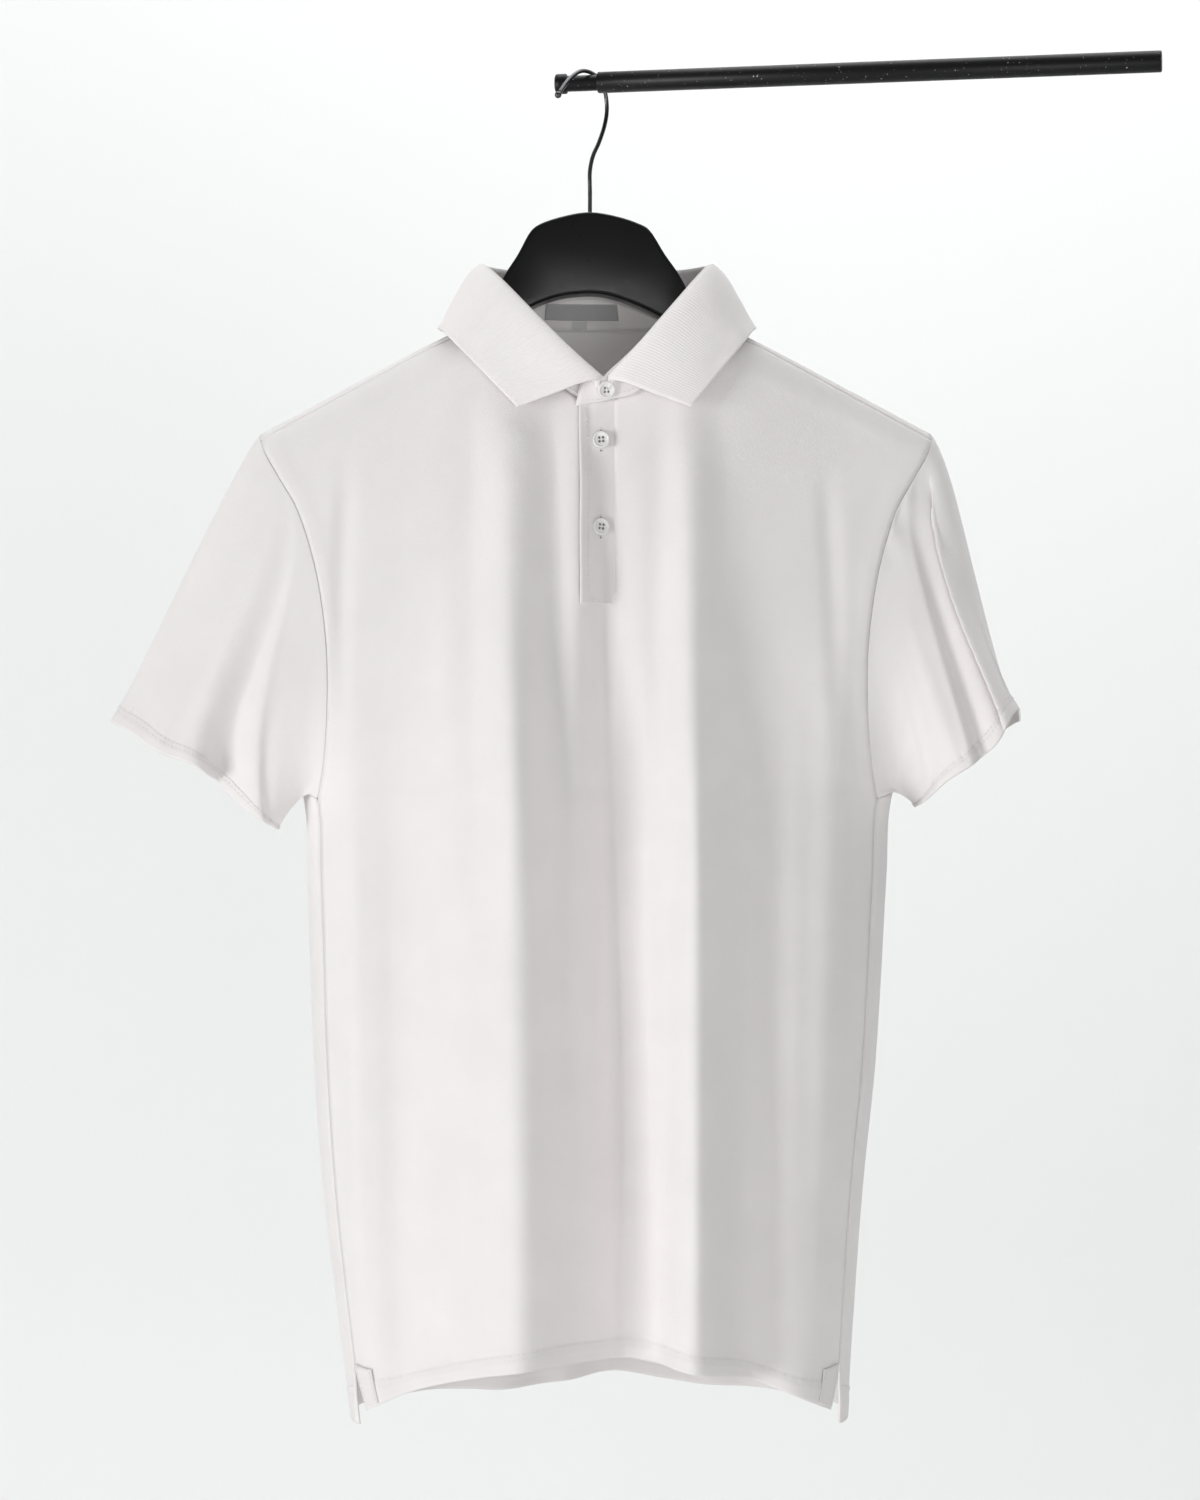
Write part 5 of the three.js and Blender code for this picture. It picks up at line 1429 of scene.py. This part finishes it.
def make_button(name, spot, facing, turn):
    mesh = BUTTON_MESH.copy()
    mesh.transform(turned_to(spot, facing) @ Matrix.Rotation(turn, 4, "Z"))
    mesh.name = name
    mesh.polygons.foreach_set("use_smooth", [True] * len(mesh.polygons))
    mesh.set_sharp_from_angle(angle=math.radians(35))
    piece = link(f"{name}_resin", mesh, BUTTON_PLASTIC)
    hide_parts(name)
    side = np.cross((0, 0, 1.0), facing)
    side /= np.linalg.norm(side)
    up = np.cross(facing, side)
    at = spot + facing * (BUTTON["thick"] - 0.35)
    gap = BUTTON["hole_at"] / math.sqrt(2)
    bars = []
    for way in (-1, 1):
        for strand in (-0.12, 0.12):
            middle = at + side * (way * gap + strand)
            ends = [middle - up * gap * 1.25, middle + up * gap * 1.25]
            bars.append((ends, [facing, facing]))
    # A short dark piece sunk in each of the four holes: painted shade for the holes' dark depth.
    hole_shade_marks = []
    for turn_of_hole in (1, 3, 5, 7):
        way = math.radians(turn_of_hole * 45)
        hole_shade_spot = at - facing * 0.12 + (side * math.cos(way) + up * math.sin(way)) * BUTTON["hole_at"]
        hole_shade_marks.append(([hole_shade_spot - up * 0.62, hole_shade_spot + up * 0.62], [facing, facing]))
    return bars, hole_shade_marks


BUTTON_LIFT = CLOTH + 2 * SEAM_GAP
button_bars, hole_shade_marks_all = [], []
for name, x, down, turn in (("button_2", 7.2, 247, 0.1), ("button_3", 6.2, 304, -0.15)):
    facing = front_normal(x, down)[0]
    bars, hole_shade_marks = make_button(name, front_at(x, down)[0] + facing * (BUTTON_LIFT + 0.15), facing, turn)
    button_bars += bars
    hole_shade_marks_all += hole_shade_marks
stand_button_at, stand_button_way = stand_spot(10.3, 1 - 1.75 / 3)
stand_button_at = stand_button_at + stand_button_way * (2 * SEAM_GAP)
bars, hole_shade_marks = make_button("button_1", stand_button_at, stand_button_way, 0.05)
join_stitches("button_threads", button_bars + bars, pitch=1.6, width=0.2)
# The dark pieces in the buttons' holes are painted shade.
join_stitches("button_hole_painted_shade", hole_shade_marks_all + hole_shade_marks, SLIT_AND_HOLE_PAINTED_SHADE, pitch=1.2, width=1.0)

# %% [markdown]
# ## Stitches
#
# Two rows of coverstitch hold the hem and the cuffs, one row follows the placket's free edge and one
# crosses its foot, and dense stitches ring each buttonhole. Each stitch is a small lozenge sunk half
# into the cloth, and all the stitches of one seam are joined into one piece.

# %% Hems and cuffs
HEM_ROWS = (24.0, 18.5)
STITCH_STEPS = 260


def line_on(place, u, v):
    u, v = np.broadcast_arrays(np.asarray(u, float), np.asarray(v, float))
    u, v = u.copy(), v.copy()
    return place(u, v), normals_of(place, u, v)


def front_v(from_hem):
    return from_hem / FRONT_RUN["mm"][-1]


def back_v(from_hem):
    row = ROWS["back_over"] + 20 - np.interp(from_hem, [0, 40, 435, 685], [0, 2, 11, 20])
    return 1 - np.interp(row, BACK_RUN["rows"], BACK_RUN["mm"]) / BACK_RUN["mm"][-1]


across = np.linspace(0.008, 0.992, STITCH_STEPS)
hem_rows = [line_on(front_place, across, front_v(height)) for height in HEM_ROWS]
hem_rows += [line_on(back_place, across, back_v(height)) for height in HEM_ROWS]
hem_stitches = join_stitches("hem_stitches", hem_rows)

cuff_rows = []
for side_name, place in SLEEVE_PLACES.items():
    for height in HEM_ROWS:
        cuff_rows.append(line_on(place, np.linspace(0, 1, STITCH_STEPS), height / SLEEVE_FLAT[1]))
cuff_stitches = join_stitches("cuff_stitches", cuff_rows)

# %% Placket, collar and vents
down_the_edge = np.linspace(0.03, 0.985, 120)
placket_rows = [
    line_on(upper_place, 5.0 / PLACKET_FLAT[0], down_the_edge),
    line_on(upper_place, np.linspace(0.17, 0.88, 30), 4.0 / PLACKET_FLAT[1]),
]
BUTTONHOLES = {"half": 7.6, "wide": 1.3, "pitch": 40}


def buttonhole(x, down):
    """A long ring of stitches round an upright slit."""
    turn = np.linspace(0, 2 * np.pi, BUTTONHOLES["pitch"])
    long = BUTTONHOLES["half"] * np.sign(np.sin(turn)) * np.abs(np.sin(turn)) ** 0.6
    u = (x + BUTTONHOLES["wide"] * np.cos(turn) - PLACKET["left"]) / (PLACKET["right"] - PLACKET["left"])
    start = float(ridge_down(x) + fall_after(front_top_arc(x) + SHOULDER_SEAM_GAP / 2, x) + STRIP_START)
    v = (PLACKET["bottom"] - (down + long)) / (PLACKET["bottom"] - start)
    return line_on(upper_place, u, v)


def slit(x, down):
    """The open line inside a buttonhole's ring."""
    reach_down = np.linspace(-BUTTONHOLES["half"], BUTTONHOLES["half"], 12) + down
    u = np.full(12, (x - PLACKET["left"]) / (PLACKET["right"] - PLACKET["left"]))
    start = float(ridge_down(x) + fall_after(front_top_arc(x) + SHOULDER_SEAM_GAP / 2, x) + STRIP_START)
    return line_on(upper_place, u, (PLACKET["bottom"] - reach_down) / (PLACKET["bottom"] - start))


holes = [buttonhole(7.2, 247), buttonhole(6.2, 304)]
# A dark strip along each buttonhole's slit: painted shade for the open slit.
join_stitches("buttonhole_slit_painted_shade", [slit(7.2, 247.6), slit(6.2, 304.6)], SLIT_AND_HOLE_PAINTED_SHADE, pitch=2.0, width=1.0)
stand_rows = [line_on(stand_place, np.linspace(0.01, 0.99, 200), height) for height in (0.12,)]
tape_rows = []
for side in TAPES.values():
    place = lifted(tape_place(side), TAPE["lift"] + 0.5)
    for u in (0.12, 0.88):
        tape_rows.append(line_on(place, u, np.linspace(0.04, 0.96, 24)))
    tape_rows.append(line_on(place, np.linspace(0.14, 0.86, 12), 0.95))
placket_stitches = join_stitches("placket_stitches", placket_rows + holes)
trim_stitches = join_stitches("trim_stitches", stand_rows + tape_rows)

# %% [markdown]
# ## Hanger, hook and rod
#
# The hanger is one wide moulding: arms with the shoulders' own roll, and a flat neck plate with soft
# edges. The hook is a bent wire with a ball on its end, and it lies in the neck of a turned rod.

# %% Curves and outlines
HANGER_CLEAR = 0.9
HANGER_PLATE = {"half": 11.5, "bevel": 4.0}
HANGER_ARM = {"from": 60.0, "to": 219.0, "below": 9.0}
ARM_ENDS = {"root": 0.35, "root_length": 0.22, "tip_from": 0.9, "tip_loss": 0.75}
PLATE_TOP = [
    (-98, -198), (-84, -190), (-73, -179), (-65, -158), (-58, -137), (-48, -121), (-39, -105), (-33, -100.5),
    (-16, -95), (0, -92.7), (18, -95.5), (33, -100.5), (39, -104), (50, -121),
    (61, -137), (69, -156), (78, -178), (88, -190), (100, -198),
]
PLATE_ARCH = [
    (102, -217), (86, -209), (72, -196), (60, -178), (52, -166), (27, -153), (9, -147.5),
    (-7, -147), (-25, -150), (-44, -159), (-56, -175), (-70, -194), (-84, -208), (-100, -217),
]
HOOK_LINE = [
    (0, -92.3), (0, -78), (0, -64), (-3.5, -54), (-11, -43.5), (-18, -31), (-20.8, -20),
    (-18.6, -9), (-11, -1), (0, 1.8), (10, 1.2), (19, -2.6), (27, -8), (33, -13.5), (36.5, -17),
]
HOOK = {"wire": 1.4, "turn": 33.0, "tip": 2.3}
ROD = {"turn": 12.0, "neck": 5.3, "tube": 7.05, "flange": 6.7}
ROD_ENDS = {"flange": -23.0, "neck": -15.7, "tube": 5.5, "end": 377.7}


def curve_through(points, count):
    """A centripetal Catmull-Rom curve, evenly sampled between its points."""
    p = np.array(points, float)
    p = np.vstack([2 * p[0] - p[1], p, 2 * p[-1] - p[-2]])
    out = []
    for k in range(1, len(p) - 2):
        a, b, c, d = p[k - 1:k + 3]
        k1, k2, k3 = (max(np.linalg.norm(n - m), 1e-6) ** 0.5 for m, n in ((a, b), (b, c), (c, d)))
        start = (b - a) / k1 - (c - a) / (k1 + k2) + (c - b) / k2
        stop = (c - b) / k2 - (d - b) / (k2 + k3) + (d - c) / k3
        for t in np.arange(count) / count:
            leave, arrive = start * k2 * t * (1 - t) ** 2, stop * k2 * t * t * (1 - t)
            out.append(b + (c - b) * t * t * (3 - 2 * t) + leave - arrive)
    out.append(p[-2])
    return np.array(out)


# %% The hanger
def make_plate():
    outline = np.vstack([curve_through(PLATE_TOP, 4), curve_through(PLATE_ARCH, 4)])
    bm = bmesh.new()
    half = HANGER_PLATE["half"]
    verts = [bm.verts.new((x * MM, -half * MM, z * MM)) for x, z in outline]
    face = bm.faces.new(verts)
    grown = bmesh.ops.extrude_face_region(bm, geom=[face])
    moved = [g for g in grown["geom"] if isinstance(g, bmesh.types.BMVert)]
    bmesh.ops.translate(bm, verts=moved, vec=(0, 2 * half * MM, 0))
    bmesh.ops.recalc_face_normals(bm, faces=bm.faces[:])
    rims = [e for e in bm.edges if abs(e.verts[0].co.y - e.verts[1].co.y) < 1e-6]
    bmesh.ops.bevel(bm, geom=rims, offset=HANGER_PLATE["bevel"] * MM, segments=6, profile=0.5, affect="EDGES",
                    material=-1, clamp_overlap=True)
    return bm


def arm_place(side):
    """An arm lies under the shoulder: its top is the cloth's own roll, moved in."""
    inside = CLOTH / math.cos(math.atan(SHOULDER_SLOPE)) + HANGER_CLEAR

    def place(u, v):
        x = NECK_X + side * mix(HANGER_ARM["from"], HANGER_ARM["to"], v)
        radius = roll_radius(x)
        down = ridge_down(x) + radius
        rounding = wrap((x - section(down, "middle")) / section(down, "half"))
        root = mix(ARM_ENDS["root"], 1, smooth(v / ARM_ENDS["root_length"]))
        late = smooth((v - ARM_ENDS["tip_from"]) / (1 - ARM_ENDS["tip_from"]))
        tip = root * np.sqrt(1 - ARM_ENDS["tip_loss"] * late * late)
        turn = 2 * np.pi * u
        up = np.sin(turn)
        height = np.where(up > 0, radius - inside, HANGER_ARM["below"])
        y = side * np.cos(turn) * (radius * rounding - inside) * tip
        return np.stack([x, y, -down + up * height * tip], axis=-1)
    return place


def tube(bm, columns, rows, place):
    """A closed tube from a grid whose two sides meet, with its ends filled."""
    part = bmesh.new()
    bmesh.ops.create_grid(part, x_segments=columns, y_segments=rows, size=0.5)
    u = np.clip(np.array([v.co.x + 0.5 for v in part.verts]), 0, 1)
    v = np.clip(np.array([v.co.y + 0.5 for v in part.verts]), 0, 1)
    for vert, spot in zip(part.verts, place(u, v)):
        vert.co = spot * MM
    bmesh.ops.remove_doubles(part, verts=part.verts[:], dist=1e-6)
    bmesh.ops.holes_fill(part, edges=[e for e in part.edges if e.is_boundary], sides=0)
    bmesh.ops.recalc_face_normals(part, faces=part.faces[:])
    mesh = bpy.data.meshes.new("part")
    part.to_mesh(mesh)
    part.free()
    bm.from_mesh(mesh)
    bpy.data.meshes.remove(mesh)


hanger_bm = make_plate()
for side in (-1, 1):
    tube(hanger_bm, 48, 60, arm_place(side))
hanger = finish_mesh(hanger_bm, "hanger_moulding", HANGER_LACQUER)
hanger.data.set_sharp_from_angle(angle=math.radians(40))
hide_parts("hanger")


# %% The hook
def hook_line():
    turn = math.radians(HOOK["turn"])
    flat = curve_through(HOOK_LINE, 8)
    return np.stack([-math.sin(turn) * flat[:, 0], -math.cos(turn) * flat[:, 0], flat[:, 1]], axis=-1)


def wire_place(line, radius):
    steps = np.concatenate([[0], np.cumsum(np.linalg.norm(np.diff(line, axis=0), axis=1))])
    side = np.cross(line[-1] - line[0], line[len(line) // 2] - line[0])
    side = side / np.linalg.norm(side)

    def place(u, v):
        at = v * steps[-1]
        spot = np.stack([np.interp(at, steps, line[:, k]) for k in range(3)], axis=-1)
        ahead = np.stack([np.interp(at + 0.8, steps, line[:, k]) for k in range(3)], axis=-1)
        behind = np.stack([np.interp(at - 0.8, steps, line[:, k]) for k in range(3)], axis=-1)
        along = ahead - behind
        along /= np.linalg.norm(along, axis=-1, keepdims=True)
        up = np.cross(along, side)
        up /= np.linalg.norm(up, axis=-1, keepdims=True)
        turn = (2 * np.pi * u)[:, None]
        return spot + radius * (side * np.cos(turn) + up * np.sin(turn))
    return place


wire = hook_line()
hook_bm = bmesh.new()
tube(hook_bm, 16, 150, wire_place(wire, HOOK["wire"]))
hook = finish_mesh(hook_bm, "hook_wire", HOOK_PLATING)
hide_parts("hook")

last = np.array(HOOK_LINE[-1]) - np.array(HOOK_LINE[-2])
last = last / np.linalg.norm(last) * (HOOK["tip"] + SEAM_GAP)
turn = math.radians(HOOK["turn"])
ball_at = wire[-1] + np.array([-math.sin(turn) * last[0], -math.cos(turn) * last[0], last[1]])
ball_bm = bmesh.new()
bmesh.ops.create_uvsphere(ball_bm, u_segments=24, v_segments=16, radius=HOOK["tip"] * MM,
                          matrix=Matrix.Translation(Vector(ball_at) * MM))
ball = finish_mesh(ball_bm, "hook_ball", HOOK_PLATING)
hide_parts("hook_tip")


# %% The rod
def make_rod(name, node, profile):
    bm = spun(profile, 56)
    bmesh.ops.rotate(bm, verts=bm.verts[:], cent=(0, 0, 0), matrix=Matrix.Rotation(math.pi / 2, 3, "Y"))
    bmesh.ops.rotate(bm, verts=bm.verts[:], cent=(0, 0, 0),
                     matrix=Matrix.Rotation(-math.radians(ROD["turn"]), 3, "Z"))
    bmesh.ops.translate(bm, verts=bm.verts[:], vec=(0, 0, -ROD["neck"] * MM))
    piece = finish_mesh(bm, name, ROD_PAINT)
    piece.data.set_sharp_from_angle(angle=math.radians(50))
    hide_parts(node)


ends, chamfer = ROD_ENDS, 0.6
flange, neck, tube_radius = ROD["flange"], ROD["neck"], ROD["tube"]
make_rod("rod_turned_end", "rod_end", [
    (0, ends["flange"]), (flange - chamfer, ends["flange"]), (flange, ends["flange"] + chamfer),
    (flange, ends["neck"] - chamfer), (flange - chamfer, ends["neck"]), (neck, ends["neck"]),
    (neck, ends["tube"] - SEAM_GAP), (0, ends["tube"] - SEAM_GAP),
])
make_rod("rod_painted_tube", "rod_tube", [
    (0, ends["tube"]), (tube_radius - chamfer, ends["tube"]), (tube_radius, ends["tube"] + chamfer),
    (tube_radius, ends["end"] - chamfer), (tube_radius - chamfer, ends["end"]), (0, ends["end"]),
])
